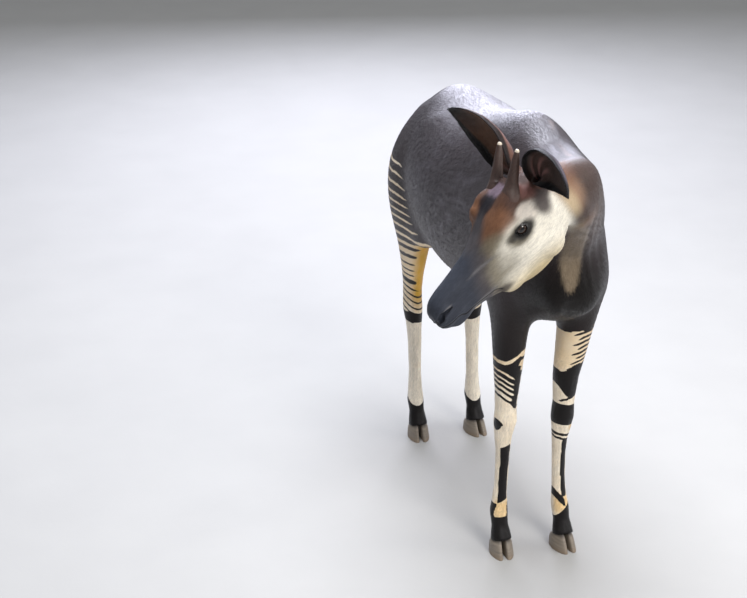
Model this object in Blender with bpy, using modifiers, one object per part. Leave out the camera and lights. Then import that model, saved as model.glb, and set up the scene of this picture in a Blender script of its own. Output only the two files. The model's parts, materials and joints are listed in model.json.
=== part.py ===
"""A life-size okapi bull, standing with his head turned to his right.

Metres, +Z up. He faces -Y, so his left side is +X. The flesh is lofted from
stations of named sizes, fused and smoothed into one skin, then parted by thin
cuts where a person would name head, neck, torso, legs and tail.
"""

import math
import random

import bmesh
import bpy
import numpy as np
from mathutils import Euler, Matrix, Vector

# Stance: how far the feet stand from the middle line and from each other
FORE_FOOT_X = 0.107
HIND_FOOT_X = 0.111
FOOT_SPACING = 0.891
LEFT_FORE_STEP = -0.022
LEFT_HIND_STEP = -0.020
LEFT_FORE_LEAN = -0.026
SWAY = 0.048
SWAY_BELOW = (0.42, 0.84)
SWAY_ABOVE = (0.96, 1.46)
SWAY_BEHIND = (0.20, 0.80)
SWAY_AHEAD = (-0.30, -0.15)
LEAN_HEIGHTS = (0.43, 0.63)

# Fineness of the skin, and the gap that parts one sub-part from the next
CUT_GAP = 0.0003
VOXEL = 0.006
RING_POINTS = 28
BODY_TRIANGLES = 4500
HEAD_TRIANGLES = 3000
TRUNK_SMOOTHING = 140
TRUNK_ABOVE = (0.62, 0.87)
TRUNK_BEFORE_TAIL = (1.105, 1.125)
WHOLE_SMOOTHING = 7
SHARP_ANGLE = 40
SCRAP_POINTS = 12

# The head's own frame: X runs from between the eyes to the nose, Y to his left
HEAD_PLACE = Vector((-0.302, -0.498, 1.389))
HEAD_TURN = Euler((0.142, 0.688, 3.341))
HEAD_REACH = (0.40, 0.20, 0.26)
HEAD_START = (-0.23, -0.15)

# Torso stations: y, back z, widest z, belly z, half width, back power, belly power
TORSO = [
    (-0.200, 1.130, 1.060, 1.000, 0.050, 2.0, 2.0),
    (-0.150, 1.260, 1.070, 0.910, 0.120, 2.0, 2.0),
    (-0.050, 1.460, 1.080, 0.850, 0.168, 2.0, 2.1),
    (0.110, 1.520, 1.090, 0.820, 0.210, 1.8, 2.2),
    (0.300, 1.466, 1.090, 0.800, 0.242, 1.8, 2.2),
    (0.480, 1.424, 1.090, 0.788, 0.258, 1.9, 2.2),
    (0.660, 1.418, 1.100, 0.812, 0.244, 1.8, 2.1),
    (0.820, 1.412, 1.110, 0.880, 0.206, 1.7, 2.0),
    (0.950, 1.340, 1.110, 0.950, 0.176, 1.7, 2.0),
    (1.050, 1.250, 1.110, 1.000, 0.130, 1.8, 2.0),
    (1.105, 1.180, 1.110, 1.050, 0.065, 2.0, 2.0),
]

# Neck stations: x, y, z, half width, height above the line, depth below it
NECK = [
    (0.000, 0.120, 1.190, 0.155, 0.290, 0.230),
    (0.004, -0.040, 1.240, 0.148, 0.255, 0.205),
    (0.000, -0.170, 1.305, 0.118, 0.185, 0.155),
    (-0.020, -0.290, 1.375, 0.086, 0.126, 0.125),
    (-0.060, -0.385, 1.430, 0.074, 0.100, 0.110),
    (-0.130, -0.445, 1.455, 0.072, 0.092, 0.105),
    (-0.190, -0.465, 1.450, 0.068, 0.080, 0.095),
]

# Head stations: x, top z, widest z, bottom z, half width, top power, bottom power
HEAD = [
    (-0.165, 0.045, -0.020, -0.085, 0.045, 2.0, 2.0),
    (-0.140, 0.074, -0.020, -0.115, 0.058, 2.1, 2.0),
    (-0.100, 0.096, -0.015, -0.146, 0.073, 2.2, 1.9),
    (-0.050, 0.110, -0.005, -0.166, 0.084, 2.6, 1.8),
    (0.000, 0.108, 0.004, -0.174, 0.089, 2.8, 1.8),
    (0.050, 0.093, 0.002, -0.170, 0.081, 2.7, 1.8),
    (0.100, 0.067, -0.010, -0.152, 0.065, 2.4, 1.9),
    (0.150, 0.049, -0.022, -0.124, 0.052, 2.3, 2.0),
    (0.200, 0.041, -0.024, -0.106, 0.046, 2.3, 2.1),
    (0.250, 0.035, -0.024, -0.093, 0.043, 2.3, 2.2),
    (0.295, 0.030, -0.022, -0.082, 0.042, 2.3, 2.2),
    (0.328, 0.021, -0.025, -0.081, 0.039, 2.2, 2.2),
    (0.351, 0.001, -0.031, -0.067, 0.026, 2.0, 2.0),
]

# Leg stations: z, x and y from the foot's middle, half width, front, back
FORE_LEG = [
    (1.180, -0.015, 0.030, 0.040, 0.070, 0.070),
    (1.060, 0.022, 0.030, 0.062, 0.110, 0.105),
    (0.960, 0.040, 0.055, 0.074, 0.110, 0.115),
    (0.880, 0.026, 0.060, 0.072, 0.090, 0.095),
    (0.800, 0.016, 0.055, 0.066, 0.073, 0.078),
    (0.700, 0.010, 0.048, 0.055, 0.058, 0.062),
    (0.600, 0.002, 0.044, 0.043, 0.047, 0.048),
    (0.530, -0.003, 0.042, 0.038, 0.040, 0.040),
    (0.480, -0.007, 0.040, 0.041, 0.042, 0.036),
    (0.430, -0.009, 0.042, 0.033, 0.034, 0.034),
    (0.360, -0.011, 0.044, 0.0255, 0.026, 0.031),
    (0.250, -0.008, 0.044, 0.0240, 0.023, 0.031),
    (0.180, -0.004, 0.042, 0.0275, 0.025, 0.034),
    (0.140, -0.001, 0.038, 0.0330, 0.030, 0.037),
    (0.100, 0.000, 0.024, 0.0300, 0.028, 0.031),
    (0.060, 0.000, 0.008, 0.0360, 0.036, 0.036),
    (0.030, 0.000, 0.000, 0.0390, 0.042, 0.038),
]
HIND_LEG = [
    (1.320, -0.040, -0.040, 0.045, 0.090, 0.100),
    (1.200, 0.002, -0.040, 0.080, 0.160, 0.170),
    (1.080, 0.032, -0.040, 0.092, 0.185, 0.190),
    (0.960, 0.048, -0.055, 0.082, 0.160, 0.165),
    (0.880, 0.044, -0.050, 0.070, 0.130, 0.135),
    (0.800, 0.034, -0.025, 0.058, 0.096, 0.105),
    (0.700, 0.022, 0.015, 0.045, 0.066, 0.076),
    (0.620, 0.012, 0.050, 0.037, 0.048, 0.060),
    (0.550, 0.006, 0.070, 0.036, 0.044, 0.055),
    (0.500, 0.003, 0.074, 0.038, 0.042, 0.046),
    (0.440, 0.001, 0.066, 0.031, 0.033, 0.038),
    (0.360, 0.000, 0.058, 0.0265, 0.027, 0.033),
    (0.250, 0.000, 0.050, 0.0250, 0.026, 0.032),
    (0.180, 0.000, 0.046, 0.0285, 0.028, 0.035),
    (0.140, 0.000, 0.040, 0.0335, 0.031, 0.038),
    (0.100, 0.000, 0.025, 0.0300, 0.028, 0.031),
    (0.060, 0.000, 0.008, 0.0360, 0.036, 0.036),
    (0.030, 0.000, 0.000, 0.0390, 0.042, 0.038),
]

# Tail stations: y, z, radius
TAIL = [
    (1.030, 1.240, 0.034),
    (1.100, 1.228, 0.028),
    (1.152, 1.165, 0.021),
    (1.170, 1.060, 0.016),
    (1.171, 0.960, 0.0125),
    (1.170, 0.890, 0.0110),
]
TUFT_TOP = 0.915
TUFT_Y = 1.170
TUFT_LOCKS = 18
LOCK_LENGTH = (0.10, 0.14)
LOCK_WIDTH = (0.0048, 0.0068)
LOCK_THICKNESS = 0.0016
LOCK_RINGS = 5
LOCK_SAG = (0.45, 0.62)
LOCK_SHAPE = (0.55, 0.90, -1.35)
LOCK_TAPER = 0.7
LOCK_SPREAD = (0.10, 0.22)
LOCK_ROOT_RADIUS = 0.0075
LOCK_DROPS = (0.018, 0.075)
LOCK_TURN = 2.399963
LOCK_TURN_SPREAD = 0.2

# The core of the tuft: drop below its top and radius
TUFT_CORE = [
    (0.000, 0.0105),
    (0.020, 0.0135),
    (0.050, 0.0150),
    (0.085, 0.0110),
    (0.110, 0.0040),
]

# Muscles and bones under the skin, on his left: centre, radii, turn in degrees
BODY_BULGES = {
    "shoulder_blade": ((0.122, 0.060, 1.260), (0.052, 0.095, 0.170), (0, -20, 0)),
    "upper_arm": ((0.126, 0.010, 1.040), (0.060, 0.120, 0.095), (35, 0, 0)),
    "shoulder_point": ((0.088, -0.085, 1.070), (0.055, 0.065, 0.085), (0, 0, 0)),
    "breast": ((0.045, -0.125, 1.010), (0.065, 0.075, 0.110), (0, 0, 0)),
    "elbow": ((0.120, 0.155, 0.900), (0.030, 0.045, 0.060), (0, 0, 0)),
    "hip_bone": ((0.132, 0.690, 1.285), (0.050, 0.085, 0.050), (0, 0, 0)),
    "haunch": ((0.126, 0.885, 1.050), (0.095, 0.180, 0.180), (0, 0, 0)),
    "stifle": ((0.165, 0.710, 0.940), (0.060, 0.075, 0.110), (0, 0, 0)),
    "buttock": ((0.080, 1.045, 1.060), (0.068, 0.060, 0.150), (0, 0, 0)),
    "hock_point": ((0.117, 0.990, 0.556), (0.019, 0.026, 0.062), (-10, 0, 0)),
    "tendon": ((0.118, 0.975, 0.660), (0.013, 0.017, 0.110), (9, 0, 0)),
}
HEAD_BULGES = {
    "brow": ((0.004, 0.058, 0.058), (0.072, 0.030, 0.031), (0, 16, 0)),
    "lower_orbit": ((0.012, 0.073, -0.014), (0.042, 0.018, 0.018), (0, 0, 0)),
    "jaw_muscle": ((-0.036, 0.050, -0.084), (0.058, 0.029, 0.066), (0, 15, 0)),
    "cheek": ((0.070, 0.038, -0.085), (0.090, 0.024, 0.048), (0, 18, 0)),
    "horn_root": ((-0.018, 0.044, 0.088), (0.056, 0.030, 0.026), (0, 20, 0)),
    "forehead": ((0.010, 0.044, 0.070), (0.062, 0.030, 0.030), (0, 28, 0)),
    "ear_root": ((-0.122, 0.058, 0.052), (0.032, 0.028, 0.028), (0, 0, 0)),
    "nostril_wing": ((0.308, 0.026, -0.008), (0.030, 0.017, 0.019), (0, 10, 0)),
    "upper_lip": ((0.285, 0.024, -0.044), (0.055, 0.020, 0.016), (0, 6, 0)),
    "lower_lip": ((0.265, 0.012, -0.078), (0.060, 0.021, 0.016), (0, 8, 0)),
}

# Horns: stations from root to tip in the head's frame on his left, with radii;
# the tip's last ring is this much narrower, and this much further
HORN_TIP = (0.45, 0.006)
HORN = [
    ((-0.028, 0.043, 0.076), 0.0290),
    ((-0.050, 0.045, 0.096), 0.0225),
    ((-0.088, 0.049, 0.130), 0.0165),
    ((-0.122, 0.052, 0.160), 0.0115),
    ((-0.137, 0.054, 0.173), 0.0090),
]

# Ears: root, middle and tip of the line, then the way each opens, in the head's frame
EAR_HALF_WIDTH = 0.084
EAR_THICKNESS = 0.005
EAR_ROWS = 13
EAR_COLUMNS = 11
EAR_CUT = 0.10
EAR_LINE_DEPTH = 0.35
EARS = {
    "left": (
        (-0.126, 0.060, 0.056),
        (-0.148, 0.097, 0.194),
        (-0.105, 0.288, 0.089),
        (0.88, 0.08, 0.46),
    ),
    "right": (
        (-0.126, -0.060, 0.056),
        (-0.134, -0.118, 0.145),
        (-0.133, -0.243, 0.277),
        (0.86, 0.34, 0.36),
    ),
}

# Share of the way to the ear's tip, share of its full width, and half its roll in radians
EAR_LEAF = [
    (0.00, 0.40, 2.80),
    (0.12, 0.66, 2.30),
    (0.30, 0.96, 1.55),
    (0.50, 1.00, 1.20),
    (0.70, 0.88, 1.05),
    (0.86, 0.56, 0.93),
    (0.95, 0.27, 0.85),
    (1.00, 0.05, 0.80),
]

# Eyes, in the head's frame
EYE_CENTRE = (0.000, 0.0735, 0.015)
GAZE = (0.30, 0.95, 0.06)
EYE_RADIUS = 0.0225
EYE_SEGMENTS = 18
EYE_OPENING = (0.0172, 0.0112)
EYE_OPENING_SHARE = (1.10, 0.90)
EYE_OPENING_POWER = 1.25
EYE_OPENING_SLOPE = 0.0015
EYE_OPENING_DEPTHS = (0.2, 2.2)
LID_THICKNESS = 0.0035

# Nostrils and mouth, in the head's frame
NOSTRIL = ((0.318, 0.0345, -0.021), (0.0270, 0.0100, 0.0062), (0, 4, -22))
MOUTH_CORNER = (0.165, 0.052, -0.092)
MOUTH_FRONT = (0.345, 0.000, -0.046)
MOUTH_DEPTH = 0.0028
MOUTH_DEPTH_SHARE = (1.5, 0.55)
MOUTH_POINTS = 25
MOUTH_BEND = 1.6
MOUTH_SAG = 0.010
MOUTH_WIDTH = 0.052
MOUTH_ROUNDING = 2.2

# Hooves: one claw's width and length, and the heights of its wall
CLAW_WIDTH = 0.039
CLAW_LENGTH = 0.104
CLAW_TOE_REACH = 0.066
CLAW_HEIGHT = 0.048
CLAW_POINTS = 18
CLAW_LEVELS = (0.0, 0.45, 1.0)
CLAW_NARROWING = 0.10
CLAW_SHORTENING = 0.30
CLAW_ROUNDNESS = 0.75
TOE_NARROWING = 0.28
TOE_INWARD = 0.18
WALL_LEAN = 0.012
CLAW_BACK = 0.010
CORONET_SLOPE = 0.30
CLEFT = 0.003
TOE_OUT = 6

# Cuts that part the legs from the trunk: y and z along the inner and the outer edge
FORE_CUT_X = (0.020, 0.300)
FORE_CUT_INNER = [
    (-0.26, 0.840),
    (-0.16, 0.800),
    (-0.04, 0.770),
    (0.08, 0.765),
    (0.18, 0.770),
    (0.26, 0.760),
    (0.33, 0.750),
]
FORE_CUT_OUTER = [
    (-0.30, 0.940),
    (-0.18, 1.000),
    (-0.06, 1.060),
    (0.07, 1.070),
    (0.18, 1.000),
    (0.27, 0.900),
    (0.34, 0.790),
]
HIND_CUT_X = (0.020, 0.320)
HIND_CUT_INNER = [
    (0.56, 0.720),
    (0.63, 0.770),
    (0.72, 0.815),
    (0.83, 0.850),
    (0.95, 0.890),
    (1.06, 0.920),
    (1.18, 0.900),
]
HIND_CUT_OUTER = [
    (0.55, 0.780),
    (0.61, 0.960),
    (0.68, 1.090),
    (0.77, 1.170),
    (0.90, 1.210),
    (1.04, 1.190),
    (1.19, 1.100),
]

# Cuts across the limbs: height, and how far behind the foot's middle the bone lies there
KNEE_CUT = (0.425, 0.042)
HOCK_CUT = (0.450, 0.066)
LIMB_CUT_HALF = (0.060, 0.080)

# Cuts across the body: place, way across the cut, and half sizes; the first is in the head's frame
POLL_CUT = ((-0.168, 0, -0.045), (0.962, 0, 0.272), (0.11, 0.17))
NECK_CUT = ((0.01, -0.03, 1.27), (0, -0.8, 0.6), (0.28, 0.40))
TAIL_CUT = ((0, 1.146, 1.178), (0, 0.55, -0.84), (0.036, 0.030))
TIP_CUT_HALF = (0.04, 0.04)
TIP_CUT_DEPTH = 0.10
SOLE_CUT_HALF = (0.10, 0.14)
SOLE_CUT_DEPTH = 0.10
EAR_CUT_HALF = (0.050, 0.050)
HORN_CUT_HALF = (0.036, 0.036)
HORN_CUT_SHARE = 0.55
LEG_CUT_SWAY = 0.9

# Base colours and roughness of the sub-parts' materials
MATERIALS = {
    "coat": ((0.075, 0.052, 0.048), 0.45),
    "face": ((0.45, 0.38, 0.30), 0.55),
    "leg_coat": ((0.62, 0.56, 0.45), 0.60),
    "ear": ((0.16, 0.09, 0.06), 0.60),
    "horn": ((0.22, 0.16, 0.13), 0.50),
    "eye": ((0.012, 0.010, 0.010), 0.05),
    "hoof": ((0.20, 0.17, 0.15), 0.50),
    "tuft": ((0.020, 0.017, 0.016), 0.60),
}


def head_matrix():
    return Matrix.Translation(HEAD_PLACE) @ HEAD_TURN.to_matrix().to_4x4()


def on_head(point, side=1):
    """World place of a point of the head's frame, given on his left."""
    x, y, z = point
    return head_matrix() @ Vector((x, y * side, z))


def towards_head(direction):
    """World direction of a direction in the head's frame."""
    return (HEAD_TURN.to_matrix() @ Vector(direction)).normalized()


def turned(degrees, side=1):
    """A turn given in degrees on his left, mirrored for his right."""
    x, y, z = (math.radians(angle) for angle in degrees)
    return Euler((x, y * side, z * side)).to_matrix()


def ramp(value, low, high):
    """None up to the low value, one from the high value on."""
    return max(0.0, min(1.0, (value - low) / (high - low)))


def swayed(point):
    """He stands with his chest a little to his left of his fore feet."""
    rise = ramp(point.z, *SWAY_BELOW)
    fall = 1 - ramp(point.z, *SWAY_ABOVE)
    front = 1 - ramp(point.y, *SWAY_BEHIND)
    ahead = ramp(point.y, *SWAY_AHEAD)
    return point + Vector((SWAY * rise * fall * front * ahead, 0, 0))


def head_share(point):
    """One on the head, none from a little way down the neck."""
    local = head_matrix().inverted() @ point
    if abs(local.y) > HEAD_REACH[1] or abs(local.z) > HEAD_REACH[2] or local.x > HEAD_REACH[0]:
        return 0.0
    return ramp(local.x, *HEAD_START)


def smooth_rows(rows, steps):
    """Catmull-Rom rows between the stations, so that a loft has no kinks."""
    rows = np.array(rows, float)
    ends = np.vstack([2 * rows[0] - rows[1], rows, 2 * rows[-1] - rows[-2]])
    made = []
    for i in range(len(rows) - 1):
        a, b, c, d = ends[i : i + 4]
        for t in np.arange(steps) / steps:
            made.append(
                0.5 * (2 * b + (c - a) * t + (2 * a - 5 * b + 4 * c - d) * t**2)
                + 0.5 * (3 * b - a - 3 * c + d) * t**3
            )
    return np.vstack([made, rows[-1]])


def oval(centre, side, up, width, above, below, top_power=2.0, bottom_power=2.0):
    """One ring of a loft: a superellipse with its own upper and lower halves."""
    ring = []
    for k in range(RING_POINTS):
        angle = 2 * math.pi * k / RING_POINTS
        c, s = math.cos(angle), math.sin(angle)
        power = top_power if s >= 0 else bottom_power
        height = above if s >= 0 else below
        across = math.copysign(abs(c) ** (2 / power), c) * width
        rise = math.copysign(abs(s) ** (2 / power), s) * height
        ring.append(centre + side * across + up * rise)
    return ring


def mesh_object(name, mesh, collection):
    """An object in its collection; cutters and raw pieces show as wires."""
    obj = bpy.data.objects.new(name, mesh)
    collection.objects.link(obj)
    if collection.hide_render:
        obj.hide_render = True
        obj.display_type = "WIRE"
    return obj


def loft(name, rings, collection):
    """A closed skin through rings of equally many points, capped at both ends."""
    build = bmesh.new()
    rows = [[build.verts.new(p) for p in ring] for ring in rings]
    for low, high in zip(rows, rows[1:]):
        for k in range(len(low)):
            j = (k + 1) % len(low)
            build.faces.new((low[k], low[j], high[j], high[k]))
    build.faces.new(rows[0][::-1])
    build.faces.new(rows[-1])
    bmesh.ops.recalc_face_normals(build, faces=build.faces)
    mesh = bpy.data.meshes.new(name)
    build.to_mesh(mesh)
    build.free()
    return mesh_object(name, mesh, collection)


def ellipsoid(name, centre, radii, turn, collection, segments=24):
    """A scaled and turned ball, with its size in its mesh."""
    build = bmesh.new()
    bmesh.ops.create_uvsphere(build, u_segments=segments, v_segments=segments // 2, radius=1)
    place = Matrix.Translation(centre) @ turn.to_4x4() @ Matrix.Diagonal((*radii, 1))
    bmesh.ops.transform(build, matrix=place, verts=build.verts)
    bmesh.ops.recalc_face_normals(build, faces=build.faces)
    mesh = bpy.data.meshes.new(name)
    build.to_mesh(mesh)
    build.free()
    return mesh_object(name, mesh, collection)


def slab(name, centre, normal, half_u, half_v, thickness, collection, along=(0, 1, 0)):
    """A flat box across a limb; half_v is measured towards the given direction."""
    z = Vector(normal).normalized()
    y = Vector(along) - z * Vector(along).dot(z)
    y.normalize()
    x = y.cross(z)
    turn = Matrix((x, y, z)).transposed().to_4x4()
    build = bmesh.new()
    bmesh.ops.create_cube(build, size=1)
    size = Matrix.Diagonal((2 * half_u, 2 * half_v, thickness, 1))
    bmesh.ops.transform(build, matrix=Matrix.Translation(centre) @ turn @ size, verts=build.verts)
    mesh = bpy.data.meshes.new(name)
    build.to_mesh(mesh)
    build.free()
    return mesh_object(name, mesh, collection)


def applied(obj):
    """Replaces the object's mesh by its evaluated one and drops the modifiers."""
    bpy.context.view_layer.update()
    graph = bpy.context.evaluated_depsgraph_get()
    mesh = bpy.data.meshes.new_from_object(obj.evaluated_get(graph))
    obj.modifiers.clear()
    obj.data = mesh
    return obj


def boolean(obj, operation, cutter, solver="EXACT"):
    """Applies one Boolean with an object, or with all of a collection."""
    modifier = obj.modifiers.new(operation.lower(), "BOOLEAN")
    modifier.operation = operation
    modifier.solver = solver
    if isinstance(cutter, bpy.types.Collection):
        modifier.operand_type = "COLLECTION"
        modifier.collection = cutter
    else:
        modifier.object = cutter
    return applied(obj)


def new_collection(name, shown=True):
    """A collection in the scene; those of cutters and raw pieces stay out of renders."""
    collection = bpy.data.collections.new(name)
    bpy.context.scene.collection.children.link(collection)
    collection.hide_render = not shown
    return collection


def empty_collection(collection):
    for obj in list(collection.objects):
        bpy.data.objects.remove(obj)


def joined(name, collection, target):
    """One object from all the meshes of a collection, which is then emptied."""
    build = bmesh.new()
    for obj in collection.objects:
        build.from_mesh(obj.data)
    mesh = bpy.data.meshes.new(name)
    build.to_mesh(mesh)
    build.free()
    empty_collection(collection)
    return mesh_object(name, mesh, target)


def torso_skin(flesh):
    rings = []
    for y, top, wide, bottom, width, back, belly in smooth_rows(TORSO, 4):
        centre = Vector((0, y, wide))
        side, up = Vector((1, 0, 0)), Vector((0, 0, 1))
        rings.append(oval(centre, side, up, width, top - wide, wide - bottom, back, belly))
    loft("torso_skin", rings, flesh)


def neck_skin(flesh):
    """Rings square to the neck's line, their crest turning from the withers to the poll."""
    rows = smooth_rows(NECK, 5)
    places = [Vector(row[:3]) for row in rows]
    withers_up = Vector((0, 0.45, 0.89))
    poll_up = towards_head((-0.75, 0, 0.66))
    rings = []
    for i, row in enumerate(rows):
        ahead = places[min(i + 1, len(rows) - 1)] - places[max(i - 1, 0)]
        up = withers_up.lerp(poll_up, i / (len(rows) - 1))
        side = up.cross(-ahead).normalized()
        up = (-ahead).cross(side).normalized()
        rings.append(oval(places[i], side, up, row[3], row[4], row[5], 2.2, 2.0))
    loft("neck_skin", rings, flesh)


def head_skin(flesh):
    side, up = towards_head((0, 1, 0)), towards_head((0, 0, 1))
    rings = []
    for x, top, wide, bottom, width, above, below in smooth_rows(HEAD, 4):
        centre = on_head((x, 0, wide))
        rings.append(oval(centre, side, up, width, top - wide, wide - bottom, above, below))
    loft("head_skin", rings, flesh)


def horn_skin(side, flesh):
    """A horn leans back from above the eye and tapers to a blunt tip."""
    rows = smooth_rows([(*place, radius) for place, radius in HORN], 4)
    rings = []
    for i, row in enumerate(rows):
        before, after = rows[max(i - 1, 0)], rows[min(i + 1, len(rows) - 1)]
        ahead = on_head(after[:3], side) - on_head(before[:3], side)
        across = towards_head((0, 1, 0))
        up = ahead.cross(across).normalized()
        across = up.cross(ahead).normalized()
        rings.append(oval(on_head(row[:3], side), across, up, row[3], row[3], row[3]))
    tip = rings[-1]
    middle = sum(tip, Vector()) / len(tip)
    narrow, further = HORN_TIP
    rings.append([middle + (p - middle) * narrow + ahead.normalized() * further for p in tip])
    loft("horn_skin", rings, flesh)


def leg_skin(stations, foot, side, lean, flesh):
    rings = []
    for z, x, y, width, front, back in smooth_rows(stations, 3):
        x += lean * ramp(z, *LEAN_HEIGHTS)
        centre = foot + Vector((side * x, y, z))
        rings.append(oval(centre, Vector((1, 0, 0)), Vector((0, -1, 0)), width, front, back))
    loft("leg_skin", rings, flesh)


def tail_skin(flesh):
    rows = smooth_rows(TAIL, 4)
    places = [Vector((0, row[0], row[1])) for row in rows]
    rings = []
    for i, row in enumerate(rows):
        ahead = places[min(i + 1, len(rows) - 1)] - places[max(i - 1, 0)]
        side = Vector((1, 0, 0))
        rings.append(oval(places[i], side, ahead.cross(side).normalized(), row[2], row[2], row[2]))
    loft("tail_skin", rings, flesh)


def feet():
    """Middle of each foot on the ground, its side and its leg's stations, by name."""
    left_hind = FOOT_SPACING + LEFT_HIND_STEP
    return {
        "foreleg_left": (Vector((FORE_FOOT_X, LEFT_FORE_STEP, 0)), FORE_LEG, 1),
        "foreleg_right": (Vector((-FORE_FOOT_X, 0, 0)), FORE_LEG, -1),
        "hindleg_left": (Vector((HIND_FOOT_X, left_hind, 0)), HIND_LEG, 1),
        "hindleg_right": (Vector((-HIND_FOOT_X, FOOT_SPACING, 0)), HIND_LEG, -1),
    }


def whole_flesh(target):
    """The whole animal but its ears, eyes, hooves and tail tuft, as one fused skin."""
    flesh = new_collection("flesh", shown=False)
    torso_skin(flesh)
    neck_skin(flesh)
    head_skin(flesh)
    tail_skin(flesh)
    for name, (foot, stations, side) in feet().items():
        lean = LEFT_FORE_LEAN if name == "foreleg_left" else 0.0
        leg_skin(stations, foot, side, lean, flesh)
    for side in (1, -1):
        horn_skin(side, flesh)
        for name, (centre, radii, turn) in BODY_BULGES.items():
            place = Vector((centre[0] * side, centre[1], centre[2]))
            ellipsoid(name, place, radii, turned(turn, side), flesh)
        for name, (centre, radii, turn) in HEAD_BULGES.items():
            on_skull = HEAD_TURN.to_matrix() @ turned(turn, side)
            ellipsoid(name, on_head(centre, side), radii, on_skull, flesh)
    whole = joined("whole", flesh, target)
    remesh = whole.modifiers.new("fuse", "REMESH")
    remesh.mode = "VOXEL"
    remesh.voxel_size = VOXEL
    applied(whole)
    return whole


def relax(whole):
    """Smooths the fused skin, most on the trunk and least on head, horns and lower legs."""
    group = whole.vertex_groups.new(name="trunk")
    for vertex in whole.data.vertices:
        off_head = 1 - head_share(vertex.co)
        above_knee = ramp(vertex.co.z, *TRUNK_ABOVE)
        off_tail = 1 - ramp(vertex.co.y, *TRUNK_BEFORE_TAIL)
        group.add([vertex.index], off_head * above_knee * off_tail, "REPLACE")
        vertex.co = vertex.co.lerp(swayed(vertex.co), off_head)
    trunk = whole.modifiers.new("trunk", "SMOOTH")
    trunk.factor = 0.5
    trunk.iterations = TRUNK_SMOOTHING
    trunk.vertex_group = "trunk"
    all_over = whole.modifiers.new("all_over", "SMOOTH")
    all_over.factor = 0.5
    all_over.iterations = WHOLE_SMOOTHING
    return applied(whole)


def thinned(obj):
    """Collapses the skin off the head and then on it, each to its own count of triangles."""
    for name, on_head_part in (("body", 0), ("head", 1)):
        group = obj.vertex_groups.new(name=name)
        shares = []
        for vertex in obj.data.vertices:
            share = 1.0 if head_share(vertex.co) > 0.5 else 0.0
            shares.append(share)
            group.add([vertex.index], share if on_head_part else 1 - share, "REPLACE")
        obj.data.calc_loop_triangles()
        count = len(obj.data.loop_triangles)
        chosen = sum(shares[t.vertices[0]] > 0.5 for t in obj.data.loop_triangles)
        kept = BODY_TRIANGLES + (HEAD_TRIANGLES if on_head_part else chosen)
        reduce = obj.modifiers.new(name, "DECIMATE")
        reduce.ratio = kept / count
        reduce.vertex_group = name
        reduce.use_collapse_triangulate = True
        applied(obj)
        obj.vertex_groups.clear()
    return obj


def ear_line(name, share):
    """Place and direction of an ear's middle line, a share of the way to its tip."""
    root, middle, tip, mouth_way = EARS[name]
    a, b, c = on_head(root), on_head(middle), on_head(tip)
    ahead = ((b - a) * (1 - share) + (c - b) * share).normalized()
    line = a * (1 - share) ** 2 + b * 2 * share * (1 - share) + c * share * share
    return line, ahead


def ear_surface(name, collection):
    """A leaf rolled into a cup: nearly closed at its root and flatter to the tip."""
    mouth = towards_head(EARS[name][3])
    share = np.linspace(0, 1, EAR_ROWS)
    stations, half_widths, half_rolls = zip(*EAR_LEAF)
    widths = np.interp(share, stations, half_widths) * EAR_HALF_WIDTH
    rolls = np.interp(share, stations, half_rolls)
    build = bmesh.new()
    rows = []
    for s, flat, turn in zip(share.tolist(), widths.tolist(), rolls.tolist()):
        line, ahead = ear_line(name, s)
        out = (mouth - ahead * mouth.dot(ahead)).normalized()
        across = ahead.cross(out).normalized()
        radius = flat / turn
        row = []
        for t in np.linspace(-1, 1, EAR_COLUMNS).tolist():
            angle = turn * t
            hollow = radius * (math.cos(angle) - EAR_LINE_DEPTH)
            row.append(build.verts.new(line - out * hollow + across * (radius * math.sin(angle))))
        rows.append(row)
    for low, high in zip(rows, rows[1:]):
        for k in range(len(low) - 1):
            build.faces.new((low[k], low[k + 1], high[k + 1], high[k]))
    bmesh.ops.triangulate(build, faces=build.faces)
    mesh = bpy.data.meshes.new(f"ear_{name}")
    build.to_mesh(mesh)
    build.free()
    ear = mesh_object(f"ear_{name}", mesh, collection)
    wall = ear.modifiers.new("wall", "SOLIDIFY")
    wall.thickness = EAR_THICKNESS
    wall.offset = 0
    wall.use_rim = True
    return applied(ear)


def add_ears(whole):
    """Joins both ears to the head, their roots sunk in it."""
    pieces = new_collection("ear_pieces", shown=False)
    for name in EARS:
        ear_surface(name, pieces)
    boolean(whole, "UNION", pieces)
    empty_collection(pieces)


def gaze_turn(side):
    """The turn of the eye's own frame: Z looks out, X runs to the nose."""
    out = towards_head((GAZE[0], GAZE[1] * side, GAZE[2]))
    ahead = towards_head((1, 0, -0.18))
    ahead = (ahead - out * ahead.dot(out)).normalized()
    up = out.cross(ahead) * side
    return Matrix((ahead, up, out)).transposed()


def almond_cutter(side, collection):
    """The opening between the lids, driven outwards from the eye's middle."""
    turn, centre = gaze_turn(side), on_head(EYE_CENTRE, side)
    rings = []
    for depth in EYE_OPENING_DEPTHS:
        ring = []
        for k in range(RING_POINTS):
            angle = 2 * math.pi * k / RING_POINTS
            c, s = math.cos(angle), math.sin(angle)
            height = EYE_OPENING[1] * EYE_OPENING_SHARE[0 if s > 0 else 1]
            rise = height * math.copysign(abs(s) ** EYE_OPENING_POWER, s) - EYE_OPENING_SLOPE * c
            ring.append(centre + turn @ Vector((EYE_OPENING[0] * c, rise, depth * EYE_RADIUS)))
        rings.append(ring)
    loft("eye_opening", rings, collection)


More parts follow.
